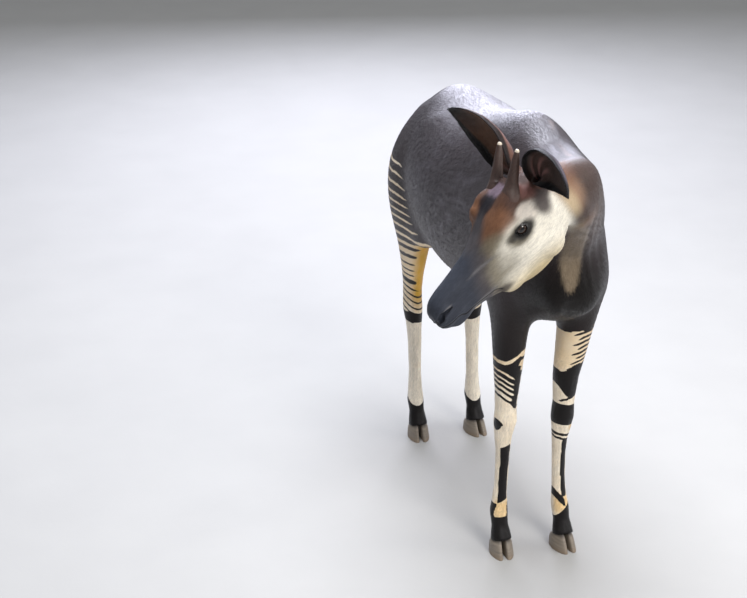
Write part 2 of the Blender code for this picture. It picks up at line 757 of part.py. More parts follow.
def add_lids(whole):
    """Lids over each eyeball, with an almond opening, and a socket behind them."""
    balls = new_collection("lid_balls", shown=False)
    for side in (1, -1):
        radii = (EYE_RADIUS + LID_THICKNESS,) * 3
        ellipsoid("lid", on_head(EYE_CENTRE, side), radii, gaze_turn(side), balls, EYE_SEGMENTS)
    boolean(whole, "UNION", balls)
    empty_collection(balls)
    for side in (1, -1):
        radii = (EYE_RADIUS + CUT_GAP,) * 3
        ellipsoid("socket", on_head(EYE_CENTRE, side), radii, gaze_turn(side), balls, EYE_SEGMENTS)
        almond_cutter(side, balls)
    boolean(whole, "DIFFERENCE", balls)
    empty_collection(balls)


def add_eyes(target):
    eyes = {}
    for name, side in (("left", 1), ("right", -1)):
        title, centre, radii = f"eye_{name}", on_head(EYE_CENTRE, side), (EYE_RADIUS,) * 3
        eyes[title] = ellipsoid(title, centre, radii, gaze_turn(side), target, EYE_SEGMENTS)
    return eyes


def on_skin(whole, point):
    """The nearest place on the skin to a point."""
    found, place, normal, face = whole.closest_point_on_mesh(point)
    return place


def carve_muzzle(whole):
    """Slit nostrils, and the line of the mouth round the muzzle from corner to corner."""
    cutters = new_collection("muzzle_cutters", shown=False)
    centre, radii, turn = NOSTRIL
    for side in (1, -1):
        place = HEAD_TURN.to_matrix() @ turned(turn, side)
        ellipsoid("nostril", on_head(centre, side), radii, place, cutters, 14)
    corner, front = Vector(MOUTH_CORNER), Vector(MOUTH_FRONT)
    path = []
    for t in np.linspace(-1, 1, MOUTH_POINTS).tolist():
        share = abs(t) ** MOUTH_BEND
        point = front.lerp(corner, share)
        point.z -= MOUTH_SAG * math.sin(math.pi * share)
        point.y = math.copysign(MOUTH_WIDTH * min(1.0, MOUTH_ROUNDING * abs(t)), t)
        path.append(on_skin(whole, on_head(point)))
    rings = []
    for i, place in enumerate(path):
        ahead = (path[min(i + 1, MOUTH_POINTS - 1)] - path[max(i - 1, 0)]).normalized()
        up = towards_head((0, 0, 1))
        out = ahead.cross(up).normalized()
        ring = []
        for k in range(6):
            angle = math.pi * k / 3
            side_way = out * math.cos(angle) * MOUTH_DEPTH * MOUTH_DEPTH_SHARE[0]
            ring.append(place + side_way + up * math.sin(angle) * MOUTH_DEPTH * MOUTH_DEPTH_SHARE[1])
        rings.append(ring)
    loft("mouth", rings, cutters)
    boolean(whole, "DIFFERENCE", cutters)
    empty_collection(cutters)


def sheet(name, inner, outer, reach, middle, side, collection):
    """A thin ruled sheet that parts a leg from the trunk; the lines are given as y and z."""
    build = bmesh.new()
    rows = []
    for x, line in zip(reach, (inner, outer)):
        rows.append([build.verts.new(Vector((middle + x * side, y, z))) for y, z in line])
    for k in range(len(inner) - 1):
        build.faces.new((rows[0][k], rows[0][k + 1], rows[1][k + 1], rows[1][k]))
    bmesh.ops.triangulate(build, faces=build.faces)
    mesh = bpy.data.meshes.new(name)
    build.to_mesh(mesh)
    build.free()
    cut = mesh_object(name, mesh, collection)
    wall = cut.modifiers.new("wall", "SOLIDIFY")
    wall.thickness = CUT_GAP
    wall.offset = 0
    return applied(cut)


def part_flesh(whole):
    """Thin cuts where a person would name one part and the next."""
    cuts = new_collection("cuts", shown=False)
    place, way, half = POLL_CUT
    slab("poll_cut", on_head(place), towards_head(way), *half, CUT_GAP, cuts, towards_head((0, 0, 1)))
    for title, (place, way, half) in (("neck_cut", NECK_CUT), ("tail_cut", TAIL_CUT)):
        slab(title, place, way, *half, CUT_GAP, cuts)
    for name, side in (("left", 1), ("right", -1)):
        line, ahead = ear_line(name, EAR_CUT)
        slab("ear_cut", line, ahead, *EAR_CUT_HALF, CUT_GAP, cuts, towards_head((1, 0, 0)))
        low, high = on_head(HORN[1][0], side), on_head(HORN[2][0], side)
        place = low.lerp(high, HORN_CUT_SHARE)
        across = towards_head((0, 1, 0))
        slab("horn_cut", place, high - low, *HORN_CUT_HALF, CUT_GAP, cuts, across)
        middle = LEG_CUT_SWAY * SWAY
        sheet("fore_cut", FORE_CUT_INNER, FORE_CUT_OUTER, FORE_CUT_X, middle, side, cuts)
        sheet("hind_cut", HIND_CUT_INNER, HIND_CUT_OUTER, HIND_CUT_X, 0, side, cuts)
    for name, (foot, stations, side) in feet().items():
        height, behind = KNEE_CUT if "fore" in name else HOCK_CUT
        place = swayed(foot + Vector((0, behind, height)))
        slab("limb_cut", place, (0, 0, 1), *LIMB_CUT_HALF, CUT_GAP, cuts)
        coronet = foot + Vector((0, 0, CLAW_HEIGHT - SOLE_CUT_DEPTH / 2 + CUT_GAP / 2))
        way, depth = (0, CORONET_SLOPE, 1), SOLE_CUT_DEPTH + CUT_GAP
        slab("sole_cut", coronet, way, *SOLE_CUT_HALF, depth, cuts)
    tip = (0, TUFT_Y, TUFT_TOP - TIP_CUT_DEPTH / 2)
    slab("tip_cut", tip, (0, 0, 1), *TIP_CUT_HALF, TIP_CUT_DEPTH, cuts)
    boolean(whole, "DIFFERENCE", cuts)
    empty_collection(cuts)


def islands(mesh):
    """Vertex numbers of each connected piece of a mesh, the largest first."""
    leader = list(range(len(mesh.vertices)))

    def find(i):
        while leader[i] != i:
            leader[i] = leader[leader[i]]
            i = leader[i]
        return i

    for edge in mesh.edges:
        a, b = find(edge.vertices[0]), find(edge.vertices[1])
        leader[a] = b
    pieces = {}
    for i in range(len(leader)):
        pieces.setdefault(find(i), []).append(i)
    return sorted(pieces.values(), key=len, reverse=True)


def seeds():
    """A place inside each fleshy part, by its name."""
    places = {
        "head": on_head((HEAD[6][0], 0, HEAD[6][2])),
        "neck": Vector(NECK[3][:3]),
        "torso": Vector((0, TORSO[5][0], TORSO[5][2])),
        "tail": Vector((0, *TAIL[3][:2])),
    }
    for name, side in (("left", 1), ("right", -1)):
        root, middle, tip, mouth_way = EARS[name]
        places[f"ear_{name}"] = on_head(middle).lerp(on_head(tip), 0.6)
        places[f"horn_{name}"] = on_head(HORN[3][0], side)
    for name, (foot, stations, side) in feet().items():
        kind, which = name.split("_")
        shin, cannon = stations[-11], stations[-6]
        places[name] = swayed(foot + Vector((side * shin[1], shin[2], shin[0])))
        middle = Vector((side * cannon[1], cannon[2], cannon[0]))
        places[f"{kind[:4]}cannon_{which}"] = swayed(foot + middle)
    return places


def named_parts(whole, target):
    """One object for each seed, made of the piece whose skin is nearest to it."""
    mesh = whole.data
    pieces = [piece for piece in islands(mesh) if len(piece) > SCRAP_POINTS]
    corners = np.array([vertex.co for vertex in mesh.vertices])
    parts = {}
    for name, seed in seeds().items():
        gaps = [np.linalg.norm(corners[piece] - np.array(seed), axis=1).min() for piece in pieces]
        kept = set(pieces[int(np.argmin(gaps))])
        build = bmesh.new()
        build.from_mesh(mesh)
        build.verts.ensure_lookup_table()
        gone = [vertex for vertex in build.verts if vertex.index not in kept]
        bmesh.ops.delete(build, geom=gone, context="VERTS")
        part = bpy.data.meshes.new(name)
        build.to_mesh(part)
        build.free()
        parts[name] = mesh_object(name, part, target)
    bpy.data.objects.remove(whole)
    return parts


def claw(name, foot, side, outer, target):
    """One half of a cloven hoof: flat sole, flat inner wall, pointed toe."""
    turn = Matrix.Rotation(math.radians(TOE_OUT * side), 4, "Z")
    rings = []
    for level in CLAW_LEVELS:
        ring = []
        for k in range(CLAW_POINTS):
            angle = 2 * math.pi * k / CLAW_POINTS
            c, s = math.cos(angle), math.sin(angle)
            toe = max(0.0, c)
            half = CLAW_WIDTH / 2 * abs(s) ** CLAW_ROUNDNESS * (1 - TOE_NARROWING * toe)
            across = CLAW_WIDTH / 2 + math.copysign(half, s) - CLAW_WIDTH * TOE_INWARD * toe * toe
            across = CLEFT / 2 + across * (1 - CLAW_NARROWING * level)
            along = CLAW_TOE_REACH - CLAW_LENGTH * (1 - c) / 2
            along = along * (1 - CLAW_SHORTENING * level) - WALL_LEAN * level - CLAW_BACK
            rise = level * (CLAW_HEIGHT + CORONET_SLOPE * along)
            ring.append(foot + turn @ Vector((across * outer * side, -along, rise)))
        rings.append(ring)
    return loft(name, rings, target)


def add_hooves(target):
    hooves = {}
    for name, (foot, stations, side) in feet().items():
        kind, which = name.split("_")
        for half, outer in (("outer", 1), ("inner", -1)):
            title = f"hoof_{kind[:4]}_{which}_{half}"
            hooves[title] = claw(title, foot, side, outer, target)
    return hooves


def lock(start, way, side_way, length, width, collection):
    """One flat tapered lock of hair, bent outwards and down along its length."""
    rings = []
    slower, lower = LOCK_SAG
    base, wider, end = LOCK_SHAPE
    for i in range(LOCK_RINGS):
        s = i / (LOCK_RINGS - 1)
        drop = Vector((0, 0, -lower * length * s * s))
        centre = start + way * (length * s * (1 - slower * s)) + drop
        half = width * (base + wider * s + end * s * s)
        flat = way.cross(side_way).normalized()
        thin = LOCK_THICKNESS * (1 - LOCK_TAPER * s)
        corners = ((half, 0), (0, thin), (-half, 0), (0, -thin))
        rings.append([centre + side_way * a + flat * b for a, b in corners])
    loft("lock", rings, collection)


def add_tuft(target):
    """The tail's tuft: a short core with overlapping flat locks."""
    rng = random.Random(7)
    locks = new_collection("locks", shown=False)
    rings = []
    for drop, radius in TUFT_CORE:
        centre = Vector((0, TUFT_Y, TUFT_TOP - CUT_GAP - drop))
        side, up = Vector((1, 0, 0)), Vector((0, 1, 0))
        rings.append(oval(centre, side, up, radius, radius, radius))
    core = loft("tail_tuft", rings, target)
    for i in range(TUFT_LOCKS):
        angle = i * LOCK_TURN + rng.uniform(-LOCK_TURN_SPREAD, LOCK_TURN_SPREAD)
        drop = LOCK_DROPS[0] + LOCK_DROPS[1] * i / TUFT_LOCKS
        out = Vector((math.cos(angle), math.sin(angle), 0))
        way = (out * rng.uniform(*LOCK_SPREAD) + Vector((0, 0, -1))).normalized()
        start = Vector((0, TUFT_Y, TUFT_TOP - drop)) + out * LOCK_ROOT_RADIUS
        side_way = Vector((-out.y, out.x, 0))
        lock(start, way, side_way, rng.uniform(*LOCK_LENGTH), rng.uniform(*LOCK_WIDTH), locks)
    boolean(core, "UNION", locks)
    empty_collection(locks)
    return core


def material(name):
    colour, roughness = MATERIALS[name]
    made = bpy.data.materials.new(name)
    made.use_nodes = True
    shader = made.node_tree.nodes["Principled BSDF"]
    shader.inputs["Base Color"].default_value = (*colour, 1)
    shader.inputs["Roughness"].default_value = roughness
    shader.inputs["Metallic"].default_value = 0
    made.diffuse_color = (*colour, 1)
    return made


def look_of(name):
    for start, slot in (
        ("head", "face"),
        ("neck", "coat"),
        ("torso", "coat"),
        ("tail_tuft", "tuft"),
        ("tail", "coat"),
        ("ear", "ear"),
        ("eye", "eye"),
        ("horn", "horn"),
        ("hoof", "hoof"),
    ):
        if name.startswith(start):
            return slot
    return "leg_coat"


def finish(parts):
    """Stands him with the middle of his bounding box over the origin, and shades him."""
    corners = np.array([vertex.co for part in parts.values() for vertex in part.data.vertices])
    low, high = corners.min(axis=0), corners.max(axis=0)
    shift = Vector((-(low[0] + high[0]) / 2, -(low[1] + high[1]) / 2, -low[2]))
    looks = {name: material(name) for name in MATERIALS}
    for name, part in parts.items():
        part.data.transform(Matrix.Translation(shift))
        part.data.materials.clear()
        part.data.materials.append(looks[look_of(name)])
        build = bmesh.new()
        build.from_mesh(part.data)
        bmesh.ops.recalc_face_normals(build, faces=build.faces)
        for face in build.faces:
            face.material_index = 0
        build.to_mesh(part.data)
        build.free()
        part.data.shade_smooth()
        part.data.set_sharp_from_angle(angle=math.radians(SHARP_ANGLE))


def main():
    for obj in list(bpy.data.objects):
        bpy.data.objects.remove(obj)
    okapi = new_collection("okapi")
    whole = whole_flesh(okapi)
    relax(whole)
    thinned(whole)
    add_ears(whole)
    add_lids(whole)
    carve_muzzle(whole)
    part_flesh(whole)
    parts = named_parts(whole, okapi)
    parts.update(add_eyes(okapi))
    parts.update(add_hooves(okapi))
    parts["tail_tuft"] = add_tuft(okapi)
    finish(parts)


main()
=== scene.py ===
import json
import math

import bmesh
import bpy
import numpy as np
from mathutils import Euler, Matrix, Vector
from mathutils.bvhtree import BVHTree
from mathutils.kdtree import KDTree

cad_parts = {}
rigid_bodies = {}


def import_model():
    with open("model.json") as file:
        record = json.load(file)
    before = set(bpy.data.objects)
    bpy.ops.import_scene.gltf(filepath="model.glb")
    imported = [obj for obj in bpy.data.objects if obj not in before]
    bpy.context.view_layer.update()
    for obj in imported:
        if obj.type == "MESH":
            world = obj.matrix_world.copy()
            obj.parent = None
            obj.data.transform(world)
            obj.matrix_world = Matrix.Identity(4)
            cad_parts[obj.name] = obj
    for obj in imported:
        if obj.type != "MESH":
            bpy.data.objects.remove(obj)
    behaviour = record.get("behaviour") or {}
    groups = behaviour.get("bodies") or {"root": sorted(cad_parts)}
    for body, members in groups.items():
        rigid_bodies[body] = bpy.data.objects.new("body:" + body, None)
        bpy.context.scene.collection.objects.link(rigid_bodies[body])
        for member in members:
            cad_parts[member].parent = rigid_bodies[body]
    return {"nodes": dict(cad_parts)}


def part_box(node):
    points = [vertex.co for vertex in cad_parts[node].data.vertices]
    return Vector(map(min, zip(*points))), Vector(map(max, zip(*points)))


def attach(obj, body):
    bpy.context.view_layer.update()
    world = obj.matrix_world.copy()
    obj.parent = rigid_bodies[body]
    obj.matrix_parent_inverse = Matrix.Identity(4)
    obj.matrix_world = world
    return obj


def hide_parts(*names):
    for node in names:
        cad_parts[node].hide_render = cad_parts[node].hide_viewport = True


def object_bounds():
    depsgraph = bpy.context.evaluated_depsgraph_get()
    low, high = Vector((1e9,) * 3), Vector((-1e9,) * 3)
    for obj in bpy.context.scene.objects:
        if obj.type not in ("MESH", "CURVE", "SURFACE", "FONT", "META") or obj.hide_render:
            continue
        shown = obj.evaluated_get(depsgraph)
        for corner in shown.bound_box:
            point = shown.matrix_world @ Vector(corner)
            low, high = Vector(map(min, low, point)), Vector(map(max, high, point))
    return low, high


print("okapi: loading the frame")
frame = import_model()
nodes = frame["nodes"]
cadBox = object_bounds()

# The head's own frame: X from between the eyes to the nose, Y to its left, Z out of the forehead
headFrame = {
    "place": (-0.302, -0.498, 1.389),
    "turn": (0.142, 0.688, 3.341),
    "eye": (0.000, 0.0735, 0.015),
    "gaze": (0.30, 0.95, 0.06),
    "eyeRadius": 0.0225,
    "opening": (0.0172, 0.0112),
}
headTurn = Euler(headFrame["turn"]).to_matrix()
eyeLow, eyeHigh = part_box("eye_left")
headOrigin = (eyeLow + eyeHigh) / 2 - headTurn @ Vector(headFrame["eye"])
shift = headOrigin - Vector(headFrame["place"])  # from the animal's own coordinates to the frame's
turnRows = np.array(headTurn)


def fromHead(x, y, z, side=1):
    return headOrigin + headTurn @ Vector((x, y * side, z))


def headWay(x, y, z, side=1):
    return (headTurn @ Vector((x, y * side, z))).normalized()


def inHead(points):  # rows of points in the head's frame
    return (points - np.array(headOrigin)) @ turnRows


def inPose(points):  # rows of points in the animal's own coordinates
    return points - np.array(shift)


def ramp(value, start, end):  # smooth step from 0 at start to 1 at end
    t = np.clip((value - start) / (end - start), 0, 1)
    return t * t * (3 - 2 * t)


def bandShare(value, low, high, soft):  # one from low to high, with soft ends
    return ramp(value, low - soft, low + soft) * (1 - ramp(value, high - soft, high + soft))


def bell(value, middle, width):
    return np.exp(-(((value - middle) / width) ** 2))


def blended(first, second, share):
    return first * (1 - share) + second * share


def spotShare(rows, centre, radii, soft=0.35):  # one inside an ellipsoid, falling to none at its soft edge
    gap = np.sqrt((((rows - np.array(centre)) / np.array(radii)) ** 2).sum(1))
    return 1 - ramp(gap, 1 - soft, 1 + soft)


def circle(count):  # cosine and sine of evenly spaced angles
    return [(math.cos(2 * math.pi * k / count), math.sin(2 * math.pi * k / count)) for k in range(count)]


def rowsOf(data, key="vector"):  # three numbers for each point
    flat = np.empty(len(data) * 3, np.float32)
    data.foreach_get(key, flat)
    return flat.reshape(-1, 3).astype(float)


def meshPoints(mesh):
    return rowsOf(mesh.vertices, "co")


def meshNormals(mesh):
    return rowsOf(mesh.vertex_normals)


def setPoints(mesh, points):
    mesh.vertices.foreach_set("co", np.asarray(points, np.float32).ravel())
    mesh.update()


def placed(name, data):
    obj = bpy.data.objects.new(name, data)
    bpy.context.scene.collection.objects.link(obj)
    return obj


def fromFaces(name, points, faces):
    mesh = bpy.data.meshes.new(name)
    mesh.from_pydata([tuple(p) for p in points], [], faces)
    mesh.update()
    return placed(name, mesh)


def writeFields(mesh, **fields):  # "tone" is a colour, the others are numbers or rows of three
    for name, values in fields.items():
        values = np.asarray(values, np.float32)
        kind, key = ("FLOAT", "value") if values.ndim == 1 else ("FLOAT_VECTOR", "vector")
        if name == "tone":
            kind, key = "FLOAT_COLOR", "color"
            values = np.concatenate([values, np.ones((len(values), 1), np.float32)], 1)
        mesh.attributes.new(name, kind, "POINT").data.foreach_set(key, values.ravel())


def ordered(name, build):  # the sphere operator gives its faces in another order each time
    build.verts.index_update()
    points, faces = [vertex.co.copy() for vertex in build.verts], []
    for face in build.faces:
        row = [vertex.index for vertex in face.verts]
        first = row.index(min(row))
        faces.append((*row[first:], *row[:first]))
    build.free()
    return fromFaces(name, points, sorted(faces))


outward, split = bmesh.ops.recalc_face_normals, bmesh.ops.triangulate


def rebuilt(obj, *steps):  # each step works on all the faces
    build = bmesh.new()
    build.from_mesh(obj.data)
    for step in steps:
        step(build, faces=build.faces)
    build.to_mesh(obj.data)
    build.free()
    return obj


def settled(obj):  # the evaluated mesh takes the place of mesh and modifiers
    bpy.context.view_layer.update()
    graph = bpy.context.evaluated_depsgraph_get()
    mesh = bpy.data.meshes.new_from_object(obj.evaluated_get(graph))
    obj.modifiers.clear()
    obj.data = mesh
    return obj


def relaxed(mesh, weights, rounds, keepSize=False):
    points = meshPoints(mesh)
    edges = np.empty(len(mesh.edges) * 2, np.int32)
    mesh.edges.foreach_get("vertices", edges)
    a, b = edges.reshape(-1, 2).T
    count = np.bincount(np.concatenate([a, b]), minlength=len(points))[:, None]
    for step in range(rounds):
        push = 0.5 if not keepSize or step % 2 == 0 else -0.53
        total = np.empty_like(points)
        for axis in range(3):
            total[:, axis] = np.bincount(a, points[b, axis], len(points))
            total[:, axis] += np.bincount(b, points[a, axis], len(points))
        points += (total / count - points) * weights[:, None] * push
    setPoints(mesh, points)


def joinShapes(base, name, objects, how):  # one Boolean on a collection
    tools = bpy.data.collections.new(name + "Tools")
    bpy.context.scene.collection.children.link(tools)
    for obj in objects:
        for owner in list(obj.users_collection):
            owner.objects.unlink(obj)
        tools.objects.link(obj)
    cut = base.modifiers.new("cut", "BOOLEAN")
    cut.operation, cut.solver = how, "MANIFOLD"
    cut.operand_type, cut.collection = "COLLECTION", tools
    settled(base)
    for obj in list(tools.objects):
        bpy.data.objects.remove(obj)
    bpy.data.collections.remove(tools)


def ringFaces(count, size, first=0):  # round a stack of rings, closed at both ends
    faces = []
    last = first + (count - 1) * size
    for low in range(first, last, size):
        for k in range(size):
            j = (k + 1) % size
            faces.append((low + k, low + j, low + size + j, low + size + k))
    return faces + [tuple(range(first, first + size))[::-1], tuple(range(last, last + size))]


def tube(name, rings):  # a closed skin through rings of equally many points
    points = [p for ring in rings for p in ring]
    return rebuilt(fromFaces(name, points, ringFaces(len(rings), len(rings[0]))), outward)


def eyeCentre(side):
    return fromHead(*headFrame["eye"], side)


def gazeTurn(side):  # the eye's own frame: X to the nose, Y up, Z out of the eye
    out = headWay(*headFrame["gaze"], side)
    ahead = headWay(1, 0, -0.18)
    ahead = (ahead - out * ahead.dot(out)).normalized()
    return Matrix((ahead, out.cross(ahead) * side, out)).transposed()


def eyeBall(name, side, radius, segments, rings):
    build = bmesh.new()
    bmesh.ops.create_uvsphere(build, u_segments=segments, v_segments=rings, radius=1)
    size = Matrix.Diagonal((radius, radius, radius, 1))
    place = Matrix.Translation(eyeCentre(side)) @ gazeTurn(side).to_4x4() @ size
    bmesh.ops.transform(build, matrix=place, verts=build.verts)
    outward(build, faces=build.faces)
    return ordered(name, build)


# skin
skinPlan = {
    "inflate": 0.001,
    "voxel": 0.005,
    "trunkRounds": 70,
    "limbRounds": 14,
    "headRounds": 10,
    "coatDepth": 0.0035,
    "trunkShare": 0.10,
    "shankShare": 0.45,
    "denseBelow": 0.80,
    "refineReach": (0.016, 0.009),
    "eyeFill": 0.0030,
    "socket": 0.0002,
}
fleshNodes = [
    "head", "neck", "torso", "tail",
    "foreleg_left", "foreleg_right", "forecannon_left", "forecannon_right",
    "hindleg_left", "hindleg_right", "hindcannon_left", "hindcannon_right",
]


def report():
    print("okapi: skin has", sum(len(face.vertices) - 2 for face in skin.data.polygons), "triangles")


def headShare(points):  # one on the head, none a little way down the neck
    x, y, z = inHead(points).T
    inside = ramp(0.25 - np.abs(y), 0, 0.05) * ramp(z + 0.255, 0, 0.07) * (np.abs(z) < 0.30)
    return ramp(x, -0.25, -0.14) * inside * (x < 0.42)


def fleshBlock():
    build = bmesh.new()
    for name in fleshNodes:
        part = bmesh.new()
        part.from_mesh(nodes[name].data)
        bmesh.ops.remove_doubles(part, verts=part.verts, dist=0.00001)
        part.normal_update()
        for vertex in part.verts:
            vertex.co += vertex.normal * skinPlan["inflate"]
        piece = bpy.data.meshes.new("piece")
        part.to_mesh(piece)
        part.free()
        build.from_mesh(piece)
        bpy.data.meshes.remove(piece)
    for side in (1, -1):  # the eyes are filled in here and opened again later
        eyeFill = eyeBall("eyeFill", side, headFrame["eyeRadius"] + skinPlan["eyeFill"], 32, 20)
        build.from_mesh(eyeFill.data)
        bpy.data.objects.remove(eyeFill)
    mesh = bpy.data.meshes.new("skin")
    build.to_mesh(mesh)
    build.free()
    return placed("skin", mesh)


print("okapi: fusing the skin")
skin = fleshBlock()
fuse = skin.modifiers.new("fuse", "REMESH")
fuse.mode = "VOXEL"
fuse.voxel_size = skinPlan["voxel"]
settled(skin)
points = meshPoints(skin.data)
onHead = headShare(points)
design = inPose(points)
trunk = (1 - onHead) * ramp(design[:, 2], 0.62, 0.88) * ramp(-design[:, 1], -1.135, -1.115)
relaxed(skin.data, trunk, skinPlan["trunkRounds"])
relaxed(skin.data, 1 - onHead, skinPlan["limbRounds"], True)
relaxed(skin.data, onHead, skinPlan["headRounds"], True)
relaxed(skin.data, np.ones(len(points)), 2)
report()


def thinnedTo(obj, mask, share):  # collapses the masked part of the skin to a share of its faces
    group = obj.vertex_groups.new(name="thin")
    group.add(np.flatnonzero(mask).tolist(), 1.0, "REPLACE")
    reduce = obj.modifiers.new("thin", "DECIMATE")
    reduce.ratio = 1 - mask.mean() * (1 - share)
    reduce.vertex_group = "thin"
    reduce.use_collapse_triangulate = True
    settled(obj)
    obj.vertex_groups.clear()


def refined(obj, reach):  # cuts each face in four round eyes, nostrils and mouth
    build = bmesh.new()
    build.from_mesh(obj.data)
    split(build, faces=build.faces)
    build.verts.ensure_lookup_table()
    chosen = nearFace(np.array([vertex.co for vertex in build.verts]), reach)
    faces = [face for face in build.faces if all(chosen[v.index] for v in face.verts)]
    edges = list({edge for face in faces for edge in face.edges})
    bmesh.ops.subdivide_edges(build, edges=edges, cuts=1, use_grid_fill=True)
    split(build, faces=build.faces)
    build.to_mesh(obj.data)
    build.free()
    relaxed(obj.data, nearFace(meshPoints(obj.data), reach).astype(float), 4, True)


def eyeFrame(points, side):  # rows in the eye's frame, and how many openings away they are
    local = (points - np.array(eyeCentre(side))) @ np.array(gazeTurn(side))
    wide, tall = headFrame["opening"]
    away = np.sqrt((local[:, 0] / wide) ** 2 + (local[:, 1] / tall) ** 2)
    away[local[:, 2] < 0] = 99
    return local, away


def alongPath(points, path):  # distance to a path of points, and the share of the way along it
    best = np.full(len(points), 9.0)
    share = np.zeros(len(points))
    for i in range(len(path) - 1):
        a, b = path[i], path[i + 1]
        t = np.clip((points - a) @ (b - a) / max((b - a) @ (b - a), 1e-12), 0, 1)
        gap = np.linalg.norm(points - a - t[:, None] * (b - a), axis=1)
        closer = gap < best
        best[closer] = gap[closer]
        share[closer] = (i + t[closer]) / (len(path) - 1)
    return best, share


print("okapi: thinning and refining")
points = meshPoints(skin.data)
thinnedTo(skin, (headShare(points) < 0.5) & (points[:, 2] > skinPlan["denseBelow"]), skinPlan["trunkShare"])
points = meshPoints(skin.data)
height = points[:, 2]
shanks = ((height > 0.165) & (height < 0.44)) | ((height > 0.51) & (height < skinPlan["denseBelow"]))
thinnedTo(skin, shanks & (inPose(points)[:, 1] > 0.42), skinPlan["shankShare"])
points = meshPoints(skin.data)
height = inPose(points)[:, 2]
depth = skinPlan["coatDepth"] * (1 - 0.55 * headShare(points)) * (0.45 + 0.55 * ramp(height, 0.45, 0.8))
depth *= ramp(height, 0.055, 0.12)
for side in (1, -1):
    depth *= ramp(eyeFrame(points, side)[1], 1.8, 3.6)
setPoints(skin.data, points - meshNormals(skin.data) * (depth + skinPlan["inflate"])[:, None])

mouthPlan = {
    "corner": (0.160, 0.050, -0.096),
    "front": (0.346, 0.0, -0.047),
    "sag": 0.010,
    "halfBreadth": 0.052,
    "width": 0.0042,
    "depth": 0.0026,
    "steps": 61,
}
nostrilPlan = {
    "path": [
        (0.290, 0.0425, -0.019), (0.305, 0.0410, -0.019), (0.320, 0.0380, -0.021),
        (0.334, 0.0300, -0.026), (0.343, 0.0190, -0.031),
    ],
    "widths": (0.0016, 0.0044, 0.0080, 0.0096, 0.0068),
    "tall": 1.8,
    "steps": 12,
}
corners = [tuple(v.co) for v in skin.data.vertices]
onSkin = BVHTree.FromPolygons(corners, [tuple(p.vertices) for p in skin.data.polygons])
mouthPath = []
for t in np.linspace(-1, 1, mouthPlan["steps"]).tolist():
    share = abs(t) ** 1.6
    spot = Vector(mouthPlan["front"]).lerp(Vector(mouthPlan["corner"]), share)
    spot.z -= mouthPlan["sag"] * math.sin(math.pi * share)
    spot.y = math.copysign(mouthPlan["halfBreadth"] * min(1.0, 2.2 * abs(t)), t)
    mouthPath.append(onSkin.find_nearest(fromHead(*spot))[0])
mouthRows = np.array(mouthPath)
nostrilRows = {}
for side in (1, -1):
    spots = [onSkin.find_nearest(fromHead(*spot, side)) for spot in nostrilPlan["path"]]
    nostrilRows[side] = (np.array([s[0] for s in spots]), [s[1] for s in spots])


def nostrilSpot(side, share):
    rows = nostrilRows[side][0]
    return Vector([np.interp(share, np.linspace(0, 1, len(rows)), rows[:, axis]) for axis in range(3)])


def nostrilWidth(share):
    widths = nostrilPlan["widths"]
    return np.interp(share, np.linspace(0, 1, len(widths)), widths)


def nearFace(points, reach):
    near = np.zeros(len(points), bool)
    for side in (1, -1):
        near |= eyeFrame(points, side)[1] < 1.2 + reach * 110
        near |= alongPath(points, nostrilRows[side][0])[0] < reach * 1.3
    muzzle = inHead(points)[:, 0] > 0.12
    near[muzzle] |= alongPath(points[muzzle], mouthRows)[0] < reach
    return near


for reach in skinPlan["refineReach"]:
    refined(skin, reach)
report()

print("okapi: lids, lips and nostrils")
points, normals = meshPoints(skin.data), meshNormals(skin.data)
lidPlan = {"thickness": 0.0026, "upperFold": 0.0022, "lowerFold": 0.0012, "rim": 0.0007, "groove": 0.0010}
for side in (1, -1):
    local, away = eyeFrame(points, side)
    lidRadius = headFrame["eyeRadius"] + lidPlan["thickness"]
    ballPlace = local / np.linalg.norm(local, axis=1)[:, None] * lidRadius
    local = blended(local, ballPlace, (1 - ramp(away, 1.5, 2.7))[:, None] * (local[:, 2] > 0)[:, None])
    upper = ramp(local[:, 1], -0.004, 0.004)
    fold = upper * lidPlan["upperFold"] * bell(away, 2.05, 0.22)
    fold += (1 - upper) * lidPlan["lowerFold"] * bell(away, 2.0, 0.22)
    fold += upper * 0.6 * lidPlan["upperFold"] * bell(away, 3.0, 0.30)
    fold -= lidPlan["rim"] * bell(away, 1.15, 0.2)
    fold -= upper * lidPlan["groove"] * bell(away, 2.5, 0.22)
    sunk = normals * np.where(away < 6, fold, 0)[:, None]
    points = local @ np.array(gazeTurn(side)).T + np.array(eyeCentre(side)) - sunk

faceForms = [  # centre in the head's frame, radii, push outwards
    ((0.060, 0.060, 0.052), (0.040, 0.020, 0.020), 0.0015),  # brow in front of the eye
    ((0.040, 0.075, -0.030), (0.050, 0.030, 0.012), -0.0020),  # hollow under the eye
    ((0.130, 0.048, -0.010), (0.060, 0.030, 0.010), 0.0022),  # crease from the eye to the muzzle
    ((0.135, 0.048, -0.030), (0.060, 0.030, 0.010), -0.0020),
    ((0.190, 0.045, 0.000), (0.045, 0.030, 0.012), -0.0015),
    ((0.255, 0.040, 0.006), (0.030, 0.030, 0.010), 0.0020),
    ((0.160, 0.045, -0.085), (0.020, 0.030, 0.016), -0.0015),  # fold behind the mouth's corner
    ((0.060, 0.040, -0.110), (0.060, 0.040, 0.020), 0.0020),
    ((-0.060, 0.080, 0.020), (0.030, 0.030, 0.030), -0.0020),  # temple
    ((0.104, 0.063, -0.022), (0.030, 0.030, 0.028), 0.0026),  # cheek and the crease round it
    ((0.128, 0.060, -0.052), (0.036, 0.030, 0.008), -0.0022),
    ((0.078, 0.070, -0.052), (0.010, 0.030, 0.020), -0.0016),
    ((0.170, 0.050, -0.060), (0.030, 0.030, 0.012), 0.0018),
    ((-0.020, 0.080, -0.070), (0.060, 0.040, 0.030), 0.0020),  # jaw muscle
]


